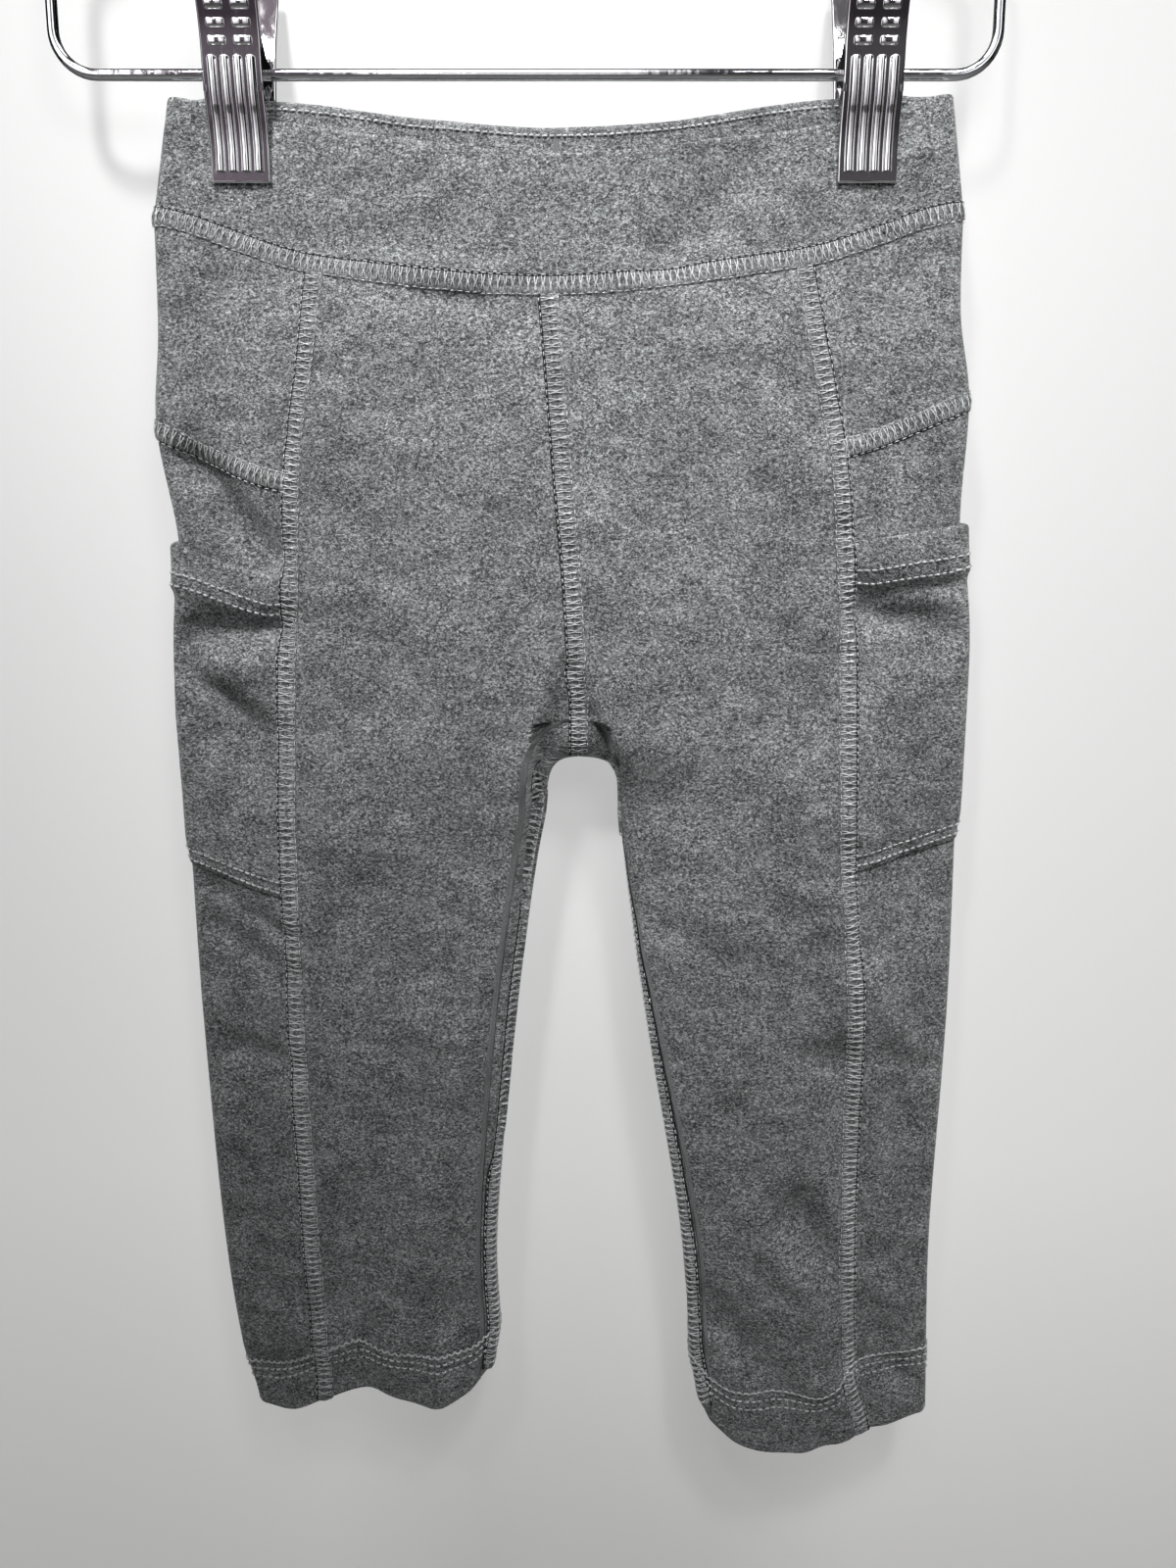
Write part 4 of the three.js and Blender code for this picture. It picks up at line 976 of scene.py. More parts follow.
def sew(name, path, stitches, pitch, trim=0.5, tree=None, loose=0.1):
    """Carries stitches along a path, laid on the cloth. Each one is a little out of true."""
    tree = tree or outside
    room = path.length - (0 if path.closed else 2 * trim)
    count = max(1, int(round(room / pitch)))
    begin = 0 if path.closed else trim
    starts = begin + (np.arange(count) + 0.5) * room / count
    chance = np.random.default_rng(len(name) + count)
    kinds = chance.integers(0, len(stitches), count)
    points, faces, size = [], [], 0
    for start, kind in zip(starts, kinds):
        template, turned = stitches[kind]
        slip, shift, wide = chance.uniform(-loose, loose, 3)
        points.append(template * (1, 1 + 0.5 * wide, 1) + (start + slip, 0.6 * shift, 0))
        faces += [[p + size for p in face] for face in turned]
        size += len(template)
    points = np.vstack(points)
    at = np.mod(points[:, 0], path.length) if path.closed else np.clip(points[:, 0], 0, path.length)
    place, _, sideways, normal = along(path, at)
    base = place + sideways * points[:, 1:2]
    laid = np.array([drop(tree, b, n) for b, n in zip(base, normal)])
    mesh = bpy.data.meshes.new(name)
    mesh.from_pydata(((laid + normal * points[:, 2:3]) * MM).tolist(), [], faces)
    return finish_mesh(name, mesh, 180)


def border(side, length=1.45):
    half = length / 2
    return [(-half, side * 2.78, 0.36), (0, side * 2.68, 0.56), (half, side * 2.80, 0.36)]


LADDER = [
    stitch_of([
        ([(-0.58, -2.35, 0.46), (-0.40, -1.2, 0.62), (-0.12, 0, 0.74),
          (-0.42, 1.2, 0.62), (-0.55, 2.35, 0.46)], 0.34, 0.28),
        ([(0.50, -2.35, 0.46), (0.42, -1.2, 0.62), (0.16, 0, 0.72),
          (0.40, 1.2, 0.62), (0.60, 2.35, 0.46)], 0.34, 0.28),
        (border(-1), 0.32, 0.28), (border(1), 0.36, 0.30)]),
    stitch_of([
        ([(-0.62, -2.35, 0.46), (-0.20, -0.6, 0.70), (0.10, 0.5, 0.76), (0.48, 2.35, 0.46)], 0.34, 0.28),
        ([(0.40, -2.35, 0.46), (0.30, -1.0, 0.62), (0.02, 0.1, 0.66), (-0.55, 2.35, 0.46)], 0.36, 0.28),
        ([(-0.05, 0.6, 0.60), (0.0, 1.5, 0.66), (-0.05, 2.35, 0.46)], 0.28, 0.24),
        (border(-1, 1.2), 0.30, 0.28), (border(1, 1.6), 0.36, 0.30)]),
    stitch_of([
        ([(-0.50, -2.35, 0.46), (-0.36, -1.2, 0.62), (-0.06, 0, 0.74),
          (-0.36, 1.2, 0.62), (-0.62, 2.35, 0.46)], 0.38, 0.28),
        ([(0.56, -2.35, 0.46), (0.36, -1.2, 0.62), (0.20, 0, 0.72),
          (0.46, 1.2, 0.62), (0.52, 2.35, 0.46)], 0.30, 0.28),
        ([(-0.25, -0.25, 0.78), (0.28, 0.2, 0.80)], 0.42, 0.28),
        (border(-1, 1.5), 0.34, 0.28), (border(1, 1.3), 0.34, 0.30)]),
]
STITCH_PITCH = 2.2
ladders = {}
for name, (_, path) in seams.items():
    ladders[name] = sew(f"{name}_thread", path, LADDER, STITCH_PITCH, trim=1.5)
print("stitches in the waist seam:", round(seams["waist_seam"][1].length / STITCH_PITCH))

# %% [markdown]
# Hems and pocket mouths are turned up and held by a cover stitch. The outside shows straight rows
# of dashes: three rows on each leg, two on a pocket's mouth and two at its bottom. The band of
# cloth between the rows is pressed a little flatter than the cloth beside it.

# %% Rows of plain dashes
def level_path(half, above, columns):
    """A path at a height above the hem, found by walking up each column of the grid."""
    points, normals = [], []
    for column in columns:
        line = half.numbers[::-1, column]
        run = np.append(0, np.cumsum(np.linalg.norm(np.diff(cloth_points[line], axis=0), axis=1)))
        want = above(cloth_points[line[0]]) if callable(above) else above
        points.append([np.interp(want, run, cloth_points[line][:, i]) for i in range(3)])
        normals.append([np.interp(want, run, cloth_normals[line][:, i]) for i in range(3)])
    return points, normals


DASH = [stitch_of([
    ([(-0.78, -0.12, 0.02), (-0.4, 0.05, 0.32), (0.35, 0.05, 0.32), (0.74, -0.12, 0.02)], 0.74, 0.5)])]
SCALLOP = [stitch_of([
    ([(-1.15, -0.5, 0.06), (-0.6, 0.15, 0.36), (0.0, 0.4, 0.38),
      (0.6, 0.15, 0.36), (1.15, -0.5, 0.06)], 0.80, 0.5)])]
HEM_PITCH = 2.3
HEM_ABOVE = {
    "right": ([-96.8, -84, -61, -45, -30, -14], [16.5, 18.5, 18.5, 20, 20, 15]),
    "left": ([56, 62, 84, 98, 108, 113, 136], [16.5, 18.5, 23.5, 22, 21.5, 26, 25]),
}
HEM_ROWS = [0, 2.9, 5.8]
hem_rows = {}
for name, half in HALVES.items():
    xs, heights = HEM_ABOVE[name]
    for k, lower in enumerate(HEM_ROWS):
        def above(edge, lower=lower):
            front = float(np.interp(edge[0], xs, heights))
            return (front if edge[1] < 0 else 0.92 * float(np.mean(heights))) - lower
        points, normals = level_path(half, above, range(INSEAM))
        path = path_of(points, normals, closed=True)
        stitch = SCALLOP if k == 0 else DASH
        hem_rows[f"hem_row_{k + 1}_{name}"] = (name, sew(f"hem_row_{k + 1}_{name}", path, stitch, HEM_PITCH))
print("hem rows:", len(hem_rows))


# %% Pocket rows
def pocket_path(name, at_row):
    """A path across a pocket at a grid row that may lie between two rows."""
    half = HALVES[name]
    columns = range(SEAM + 1, BACK_SEAM)
    rows = np.arange(len(half.numbers))
    points = [[np.interp(at_row(column), rows, cloth_points[half.numbers[:, column]][:, i])
               for i in range(3)] for column in columns]
    normals = [[np.interp(at_row(column), rows, cloth_normals[half.numbers[:, column]][:, i])
                for i in range(3)] for column in columns]
    return path_of(points, normals)


# millimetres from the edge, and grid rows to a millimetre at that edge
ROWS_BELOW_MOUTH, MOUTH_GRID = (7.2, 10.2), 21 / 26
ROWS_ABOVE_BOTTOM, BOTTOM_GRID = (1.2, 3.6), 14 / 24
pocket_rows = {}
for name, half in HALVES.items():
    mouth, bottom = half.marks["mouth"], half.marks["pocket"]
    for k, below in enumerate(ROWS_BELOW_MOUTH):
        path = pocket_path(name, lambda column, below=below: mouth + below * MOUTH_GRID)
        row = f"pocket_mouth_row_{k + 1}_{name}"
        pocket_rows[row] = (name, sew(row, path, DASH, 2.2))
    for k, above_bottom in enumerate(ROWS_ABOVE_BOTTOM):
        path = pocket_path(name, lambda column, up=above_bottom: bottom - up * BOTTOM_GRID)
        row = f"pocket_bottom_row_{k + 1}_{name}"
        pocket_rows[row] = (name, sew(row, path, DASH, 2.1))
print("pocket rows:", len(pocket_rows))

# %% The row inside the waistband
numbers = np.concatenate([band_numbers[0][2, :], band_numbers[1][2, -2:0:-1]])
inside_path = path_of(band_points[numbers] - band_normals[numbers] * BAND_CLOTH,
                      -band_normals[numbers], closed=True)
band_row = sew("waistband_inside_row", inside_path, DASH, 2.0, tree=band_inside)
print("inside row:", round(inside_path.length), "mm")

# %% [markdown]
# The hanger is one bright wire, 3.2 mm thick. It could be a curve with a round bevel, but a mesh
# made by hand operators keeps every bend exact: a ring of points is drawn, pulled along the
# straight runs and spun round each bend. Only one half of the frame is drawn, and a mirror gives
# the other. The hook is made the same way from the collar up.

# %% Helpers for modelling by hand
def begin():
    if bpy.context.object and bpy.context.object.mode != "OBJECT":
        bpy.ops.object.mode_set(mode="OBJECT")
    bpy.ops.object.select_all(action="DESELECT")


def pull(x=0.0, y=0.0, z=0.0):
    """Extrudes what is selected, in millimetres."""
    bpy.ops.mesh.extrude_region_move(TRANSFORM_OT_translate={"value": (x * MM, y * MM, z * MM)})


def bend(centre_x, centre_z, degrees, steps):
    bpy.ops.mesh.spin(steps=steps, angle=math.radians(degrees), axis=(0, 1, 0),
                      center=(centre_x * MM, 0, centre_z * MM))


def settle(name, sharp_degrees=40):
    """Leaves edit mode with the doubles merged, the faces outwards and the place in the mesh."""
    bpy.ops.mesh.select_all(action="SELECT")
    bpy.ops.mesh.remove_doubles(threshold=0.00002)
    bpy.ops.mesh.normals_make_consistent(inside=False)
    bpy.ops.object.mode_set(mode="OBJECT")
    bpy.ops.object.transform_apply(location=True, rotation=True, scale=True)
    bpy.ops.object.shade_smooth_by_angle(angle=math.radians(sharp_degrees))
    piece = bpy.context.object
    piece.name = name
    piece.data.name = name
    return piece


def apply_modifier(piece, kind, **settings):
    modifier = piece.modifiers.new(kind.title(), kind)
    for key, value in settings.items():
        setattr(modifier, key, value)
    begin()
    piece.select_set(True)
    bpy.context.view_layer.objects.active = piece
    bpy.ops.object.modifier_apply(modifier=modifier.name)


def join(parts, name):
    begin()
    for part in parts:
        part.select_set(True)
    bpy.context.view_layer.objects.active = parts[0]
    bpy.ops.object.join()
    piece = bpy.context.object
    piece.name = name
    piece.data.name = name
    return piece


def cap_open_ends():
    """Closes every open ring of the wire with a face."""
    bpy.ops.mesh.select_all(action="DESELECT")
    bpy.ops.mesh.select_mode(type="EDGE")
    bpy.ops.mesh.select_non_manifold()
    bpy.ops.mesh.edge_face_add()
    bpy.ops.mesh.select_mode(type="VERT")


print("helpers ready")

# %% Hanger frame
WIRE = 1.6
WIRE_SIDES = 28
BAR_Z = -150
FRAME_HALF = 136.7
CORNER = 12
SHOULDER_Z = -106
SHOULDER_SLOPE = 16

begin()
inner = FRAME_HALF - CORNER
bpy.ops.mesh.primitive_circle_add(vertices=WIRE_SIDES, radius=WIRE * MM, fill_type="NOTHING",
                                  location=(0, 0, BAR_Z * MM), rotation=(0, math.pi / 2, 0))
bpy.ops.object.mode_set(mode="EDIT")
bpy.ops.mesh.select_all(action="SELECT")
for _ in range(6):
    pull(x=inner / 6)
bend(inner, BAR_Z + CORNER, 90, 10)
pull(z=SHOULDER_Z - BAR_Z - CORNER)
bend(inner, SHOULDER_Z, 90 - SHOULDER_SLOPE, 10)
slope = math.radians(SHOULDER_SLOPE)
top_x = inner + CORNER * math.sin(slope)
for _ in range(4):
    pull(x=-top_x / 4, z=top_x * math.tan(slope) / 4)
frame_wire = settle("hanger_wire")
apply_modifier(frame_wire, "MIRROR", use_axis=(True, False, False), merge_threshold=0.0001)
print("frame is", [round(side * 1000, 1) for side in frame_wire.dimensions], "mm")

# %% Collar between the frame and the hook
COLLAR = [(3.2, -72.0), (3.9, -71.4), (4.0, -69.5), (3.65, -69.0), (4.0, -68.5), (4.0, -59.5), (3.65, -59.0),
          (4.0, -58.5), (3.9, -56.6), (3.2, -56.0)]
begin()
bpy.ops.mesh.primitive_circle_add(vertices=32, radius=COLLAR[0][0] * MM, fill_type="NGON",
                                  location=(0, 0, COLLAR[0][1] * MM))
bpy.ops.object.mode_set(mode="EDIT")
bpy.ops.mesh.select_all(action="SELECT")
bpy.ops.mesh.extrude_region_move(TRANSFORM_OT_translate={"value": (0, 0, 0)})
for (radius, z), (before, low) in zip(COLLAR[1:], COLLAR):
    pull(z=z - low)
    ratio = radius / before
    bpy.ops.transform.resize(value=(ratio, ratio, 1), center_override=(0, 0, z * MM))
collar = settle("hanger_collar", 50)
hanger_frame = join([frame_wire, collar], "hanger_frame_wire")
print("collar is", COLLAR[-1][1] - COLLAR[0][1], "mm tall")

# %% Hook
HOOK_INNER = 20
HOOK_BEND = 14
HOOK_END = 196
NECK_TOP_Z = -56

radius = HOOK_INNER + WIRE
drop_z = math.sqrt((radius + HOOK_BEND) ** 2 - HOOK_BEND ** 2)
join_angle = math.degrees(math.atan2(drop_z, HOOK_BEND))
begin()
bpy.ops.mesh.primitive_circle_add(vertices=WIRE_SIDES, radius=WIRE * MM, fill_type="NOTHING",
                                  location=(0, 0, (NECK_TOP_Z + 0.3) * MM))
bpy.ops.object.mode_set(mode="EDIT")
bpy.ops.mesh.select_all(action="SELECT")
pull(z=-HOOK_INNER - drop_z - NECK_TOP_Z - 0.3)
bend(HOOK_BEND, -HOOK_INNER - drop_z, -join_angle, 10)
start_angle = math.degrees(math.atan2(-drop_z + HOOK_BEND * math.sin(math.radians(180 - join_angle)),
                                      HOOK_BEND + HOOK_BEND * math.cos(math.radians(180 - join_angle))))
bend(0, -HOOK_INNER, HOOK_END - start_angle, 48)
end_angle = math.radians(HOOK_END)
tip = Vector((radius * math.cos(end_angle), 0, -HOOK_INNER + radius * math.sin(end_angle))) * MM
for shrink, step in ((0.86, 0.45), (0.6, 0.3), (0.3, 0.12)):
    pull(x=-step * math.sin(end_angle), z=step * math.cos(end_angle))
    bpy.ops.transform.resize(value=(shrink,) * 3, center_override=tuple(tip))
cap_open_ends()
hanger_hook = settle("hanger_hook_wire")
print("hook spans", [round(side * 1000, 1) for side in hanger_hook.dimensions], "mm")

# %% [markdown]
# A clip is two jaws stamped from sheet steel, which turn about the bar and are pushed apart at the
# top by a coiled spring. Each jaw is a bent strip: a box is drawn at the tip and its top face is
# pulled up along the bends. Four round ribs stiffen the gripping end, and pressed bars give the
# thumb a hold at the top. The strip's edges are softly rolled, which is what makes chrome glint,
# so a bevel goes round all of them.

# %% One jaw
JAW_WIDTH = 17.2
JAW_SHEET = 1.1
JAW_FACE = [(-180.4, 2.7), (-171.4, 2.7), (-165, 3.8), (-158, 6.0), (-150, 7.2), (-144, 7.7),
            (-138, 9.1), (-130, 12.0), (-121, 15.0)]
RIB_PITCH = 3.7
RIB_RADIUS = 1.35
RIB_FROM, RIB_TO = -177.4, -148.8
LOZENGE_TOP_Z = -126.4
LOZENGE_PITCH = 4.2


def jaw_inner(z):
    return float(np.interp(z, [each[0] for each in JAW_FACE], [each[1] for each in JAW_FACE]))


def jaw_strip():
    begin()
    low, high = JAW_FACE[0], JAW_FACE[1]
    bpy.ops.mesh.primitive_cube_add(
        size=1, location=(0, -(low[1] + JAW_SHEET / 2) * MM, (low[0] + high[0]) / 2 * MM))
    bpy.ops.transform.resize(value=(JAW_WIDTH * MM, JAW_SHEET * MM, (high[0] - low[0]) * MM))
    bpy.ops.object.transform_apply(location=True, rotation=True, scale=True)
    strip = bpy.context.object
    top = high[0]
    for (z, out), (below, before) in zip(JAW_FACE[2:], JAW_FACE[1:]):
        for polygon in strip.data.polygons:
            polygon.select = abs(polygon.center.z - top * MM) < 1e-5
        for item in list(strip.data.edges) + list(strip.data.vertices):
            item.select = False
        for polygon in strip.data.polygons:
            if polygon.select:
                for number in polygon.vertices:
                    strip.data.vertices[number].select = True
        bpy.ops.object.mode_set(mode="EDIT")
        bpy.ops.mesh.select_mode(type="FACE")
        pull(y=-(out - before), z=z - below)
        bpy.ops.object.mode_set(mode="OBJECT")
        top = z
    bpy.ops.object.mode_set(mode="EDIT")
    strip = settle("jaw_strip", 40)
    apply_modifier(strip, "BEVEL", width=0.42 * MM, segments=3, limit_method="ANGLE",
                   angle_limit=math.radians(50), harden_normals=False)
    return strip


def jaw_rib(x):
    """Half of a round bar, sunk into the strip, rounded at its upper end and closed flat at the lower one."""
    stops = [RIB_FROM, -174, -171.4, -168, -165, -161.5, -158, -154, RIB_TO]
    begin()
    bpy.ops.mesh.primitive_circle_add(
        vertices=14, radius=RIB_RADIUS * MM, fill_type="NOTHING",
        location=(x * MM, -(jaw_inner(stops[0]) + JAW_SHEET) * MM, stops[0] * MM))
    bpy.ops.object.mode_set(mode="EDIT")
    bpy.ops.mesh.select_mode(type="VERT")
    bpy.ops.mesh.select_all(action="SELECT")
    for here, after in zip(stops, stops[1:]):
        pull(y=-(jaw_inner(after) - jaw_inner(here)), z=after - here)
    for shrink, step in ((0.92, 0.35), (0.75, 0.3), (0.45, 0.2)):
        pull(z=step)
        centre = (x * MM, -(jaw_inner(stops[-1]) + JAW_SHEET) * MM, 0)
        bpy.ops.transform.resize(value=(shrink, shrink, 1), center_override=centre)
    cap_open_ends()
    return settle("jaw_rib", 60)


def jaw_bar(x, high_z):
    """One of the pressed bars under the thumb: a box with its edges well rounded."""
    middle = high_z - 1.2
    out = jaw_inner(middle) + JAW_SHEET
    lean = math.atan2(jaw_inner(high_z) - jaw_inner(high_z - 2.4), 2.4)
    begin()
    bpy.ops.mesh.primitive_cube_add(size=1, location=(x * MM, -(out + 0.15) * MM, middle * MM),
                                    rotation=(lean, 0, 0), scale=(5.2 * MM, 1.7 * MM, 2.6 * MM))
    bpy.ops.object.transform_apply(location=True, rotation=True, scale=True)
    bpy.ops.object.mode_set(mode="EDIT")
    bpy.ops.mesh.select_all(action="SELECT")
    bpy.ops.mesh.bevel(offset=0.78 * MM, segments=4, profile=0.5, affect="EDGES")
    return settle("jaw_bar", 60)


def jaw_ear(x):
    """The plate at the jaw's side that carries it on the bar."""
    begin()
    bpy.ops.mesh.primitive_cylinder_add(vertices=36, radius=3.4 * MM, depth=0.9 * MM,
                                        location=(x * MM, 0, BAR_Z * MM), rotation=(0, math.pi / 2, 0))
    bpy.ops.object.transform_apply(location=True, rotation=True, scale=True)
    ear = bpy.context.object
    for item in list(ear.data.edges) + list(ear.data.vertices):
        item.select = False
    for polygon in ear.data.polygons:
        polygon.select = polygon.normal.y < -0.3 and abs(polygon.normal.x) < 0.5
        if polygon.select:
            for number in polygon.vertices:
                ear.data.vertices[number].select = True
    bpy.ops.object.mode_set(mode="EDIT")
    bpy.ops.mesh.select_mode(type="FACE")
    pull(y=-4.6, z=1.2)
    bpy.ops.transform.resize(value=(1, 0.15, 2.3), center_override=(x * MM, -7.6 * MM, (BAR_Z + 2) * MM))
    ear = settle("jaw_ear", 50)
    apply_modifier(ear, "BEVEL", width=0.2 * MM, segments=2, limit_method="ANGLE",
                   angle_limit=math.radians(50))
    return ear


def whole_jaw(name, ear_x):
    parts = [jaw_strip()]
    parts += [jaw_rib((k - 1.5) * RIB_PITCH) for k in range(4)]
    parts += [jaw_bar(hand * RIB_PITCH, LOZENGE_TOP_Z - row * LOZENGE_PITCH)
              for row in range(5) for hand in (-1, 1)]
    parts += [jaw_ear(hand * ear_x) for hand in (-1, 1)]
    return join(parts, name)


front_jaw = whole_jaw("front_jaw", JAW_WIDTH / 2 - 0.45)
back_jaw = whole_jaw("back_jaw", JAW_WIDTH / 2 - 1.65)
begin()
back_jaw.select_set(True)
bpy.context.view_layer.objects.active = back_jaw
back_jaw.rotation_euler = (0, 0, math.pi)
bpy.ops.object.transform_apply(location=True, rotation=True, scale=True)
print("a jaw is", [round(side * 1000, 1) for side in front_jaw.dimensions], "mm")

# %% The spring
SPRING_WIRE = 0.62
SPRING_RADIUS = 3.4
SPRING_TURNS = 6
begin()
bpy.ops.mesh.primitive_circle_add(vertices=10, radius=SPRING_WIRE * MM, fill_type="NOTHING",
                                  location=(0, 0, 0), rotation=(0, 0, 0))
bpy.ops.object.mode_set(mode="EDIT")
bpy.ops.mesh.select_all(action="SELECT")
bpy.ops.transform.rotate(value=math.pi / 2, orient_axis="X", center_override=(0, 0, 0))
bpy.ops.transform.translate(value=(0, 0, SPRING_RADIUS * MM))
bpy.ops.object.mode_set(mode="OBJECT")
spring = bpy.context.object
print("spring profile", [round(side * 1000, 2) for side in spring.dimensions])
pitch = 9.0 / SPRING_TURNS
for vertex in spring.data.vertices:
    vertex.select = True
apply_modifier(spring, "SCREW", axis="X", screw_offset=pitch * MM, iterations=SPRING_TURNS, steps=20,
               render_steps=20, angle=2 * math.pi, use_merge_vertices=False)
bpy.ops.object.mode_set(mode="EDIT")
cap_open_ends()
spring = settle("spring_coil", 60)
spring.data.transform(Matrix.Translation((-4.5 * MM, 0, BAR_Z * MM)))
print("spring is", [round(side * 1000, 1) for side in spring.dimensions], "mm")

# %% Both clips, each piece a copy with its own mesh
clip_pieces = {}
for half, x in CLIP_X.items():
    for key, source in (("front_jaw", front_jaw), ("back_jaw", back_jaw), ("spring", spring)):
        begin()
        source.select_set(True)
        bpy.context.view_layer.objects.active = source
        bpy.ops.object.duplicate(linked=False)
        copy = bpy.context.object
        copy.location.x = x * MM
        bpy.ops.object.transform_apply(location=True, rotation=True, scale=True)
        copy.name = f"clip_{half}_{key}_steel"
        copy.data.name = copy.name
        clip_pieces[f"clip_{half}_{key}"] = copy
for source in (front_jaw, back_jaw, spring):
    bpy.data.objects.remove(source, do_unlink=True)
print("clip pieces:", len(clip_pieces))

# %% [markdown]
# The cloth is a heather jersey, brushed to a short nap. Light and dark fibres were mixed before
# they were spun, so close up it is a restless field of short flecks about a millimetre long, lying
# mostly across the cloth, over fine upright ribs, the wales. From further off it is a soft grey
# with cloudy patches. A picture could show one scrap of it. A procedural pattern never repeats and
# stays sharp, so two noises make the flecks, thin ridges of noise the stray fibres, two broad
# noises the clouds, and a wave the wales. All of it reads the flat cloth's own coordinates, so that
# it follows the garment round its folds.

# %% Node helpers
def new_group(name, inputs, outputs):
    group = bpy.data.node_groups.new(name, "ShaderNodeTree")
    for label, kind, value in inputs:
        socket = group.interface.new_socket(name=label, in_out="INPUT", socket_type=kind)
        if value is not None:
            socket.default_value = value
    for label, kind in outputs:
        group.interface.new_socket(name=label, in_out="OUTPUT", socket_type=kind)
    return group, group.nodes.new("NodeGroupInput"), group.nodes.new("NodeGroupOutput")


def node(tree, kind, settings=None, **links):
    """Adds a node, sets its values and links its inputs, which are named or numbered."""
    made = tree.nodes.new(kind)
    for key, value in (settings or {}).items():
        if key in made.inputs:
            made.inputs[key].default_value = value
        else:
            setattr(made, key, value)
    for key, source in links.items():
        socket = made.inputs[int(key[1:])] if key[0] == "i" and key[1:].isdigit() else made.inputs[key]
        tree.links.new(source, socket)
    return made


def maths(tree, operation, a, b):
    made = tree.nodes.new("ShaderNodeMath")
    made.operation = operation
    for socket, value in zip(made.inputs, (a, b)):
        if isinstance(value, (int, float)):
            socket.default_value = value
        else:
            tree.links.new(value, socket)
    return made.outputs[0]


def ramp(tree, source, stops):
    made = tree.nodes.new("ShaderNodeValToRGB")
    while len(made.color_ramp.elements) < len(stops):
        made.color_ramp.elements.new(0.5)
    for element, (place, shade) in zip(made.color_ramp.elements, stops):
        element.position = place
        element.color = shade if len(shade) == 4 else (*shade, 1)
    tree.links.new(source, made.inputs[0])
    return made.outputs[0]


def mapped(tree, source, scale, turn=0.0):
    made = node(tree, "ShaderNodeMapping", {"Scale": scale, "Rotation": (0, 0, math.radians(turn))})
    tree.links.new(source, made.inputs["Vector"])
    return made.outputs[0]


def noise_of(tree, vector, scale, detail=2.0, roughness=0.55, distortion=0.0):
    made = node(tree, "ShaderNodeTexNoise", {"Scale": scale, "Detail": detail, "Roughness": roughness,
                                             "Distortion": distortion})
    tree.links.new(vector, made.inputs["Vector"])
    return made.outputs[0]


def blended(tree, kind, share, a, b):
    made = tree.nodes.new("ShaderNodeMix")
    made.data_type = "RGBA"
    made.blend_type = kind
    for socket, value in ((made.inputs[0], share), (made.inputs[6], a), (made.inputs[7], b)):
        if isinstance(value, (int, float, tuple)):
            socket.default_value = value
        else:
            tree.links.new(value, socket)
    return made.outputs[2]


print("node helpers ready")

# %% Heather jersey group
jersey_group, jersey_in, jersey_out = new_group(
    "Heather Jersey",
    [("Flat Cloth", "NodeSocketVector", None), ("Dark Fibre", "NodeSocketColor", (0.045, 0.05, 0.052, 1)),
     ("Light Fibre", "NodeSocketColor", (0.34, 0.36, 0.365, 1)), ("Clouds", "NodeSocketFloat", 1.0)],
    [("Color", "NodeSocketColor"), ("Height", "NodeSocketFloat")])
tree = jersey_group
in_mm = mapped(tree, jersey_in.outputs["Flat Cloth"], (1000, 1000, 1000))
fleck = noise_of(tree, mapped(tree, in_mm, (0.95, 1.35, 1), 14), 1.0, 3.0, 0.62, 1.0)
fibre = noise_of(tree, mapped(tree, in_mm, (1.9, 2.9, 1), -24), 1.0, 2.0, 0.6, 0.6)


def curls(scale, turn, thin):
    """Pale curled fibres: the lines along which a noise crosses its middle value."""
    noise = noise_of(tree, mapped(tree, in_mm, scale, turn), 1.0, 1.5, 0.5, 1.4)
    away = maths(tree, "ABSOLUTE", maths(tree, "SUBTRACT", noise, 0.5), 0.0)
    return maths(tree, "MAXIMUM", maths(tree, "SUBTRACT", 1.0, maths(tree, "MULTIPLY", away, thin)), 0.0)


ridge = maths(tree, "MAXIMUM", curls((0.55, 0.95, 1), 18, 16.0), curls((0.62, 0.9, 1), -31, 18.0))
mottle = noise_of(tree, mapped(tree, in_mm, (0.10, 0.15, 1), 8), 1.0, 3.0, 0.6, 0.4)
cloud = noise_of(tree, mapped(tree, in_mm, (0.030, 0.040, 1)), 1.0, 2.0, 0.5)
grain = maths(tree, "ADD", maths(tree, "MULTIPLY", fleck, 0.62), maths(tree, "MULTIPLY", fibre, 0.38))
grain = maths(tree, "ADD", grain, maths(tree, "MULTIPLY", ridge, 0.10))
grain = maths(tree, "ADD", grain, maths(tree, "MULTIPLY", maths(tree, "SUBTRACT", mottle, 0.5), 0.16))
mask = node(tree, "ShaderNodeMapRange", {"From Min": 0.40, "From Max": 0.705}, Value=grain).outputs[0]
mask = maths(tree, "POWER", mask, 1.9)
colour = blended(tree, "MIX", mask, jersey_in.outputs["Dark Fibre"], jersey_in.outputs["Light Fibre"])
shade = node(tree, "ShaderNodeMapRange", {"From Min": 0.3, "From Max": 0.7, "To Min": 0.84, "To Max": 1.14},
             Value=cloud).outputs[0]
shade = maths(tree, "MULTIPLY", maths(tree, "SUBTRACT", shade, 1.0), jersey_in.outputs["Clouds"])
shade = maths(tree, "ADD", shade, 1.0)
grey = node(tree, "ShaderNodeCombineColor", None, i0=shade, i1=shade, i2=shade).outputs[0]
colour = blended(tree, "MULTIPLY", 1.0, colour, grey)
wales = node(tree, "ShaderNodeTexWave",
             {"Scale": 0.483, "Distortion": 1.1, "Detail": 1.0, "Detail Scale": 0.6})
tree.links.new(in_mm, wales.inputs["Vector"])
height = maths(tree, "ADD", maths(tree, "MULTIPLY", grain, 0.8),
               maths(tree, "MULTIPLY", wales.outputs["Fac"], 0.12))
tree.links.new(colour, jersey_out.inputs["Color"])
tree.links.new(height, jersey_out.inputs["Height"])
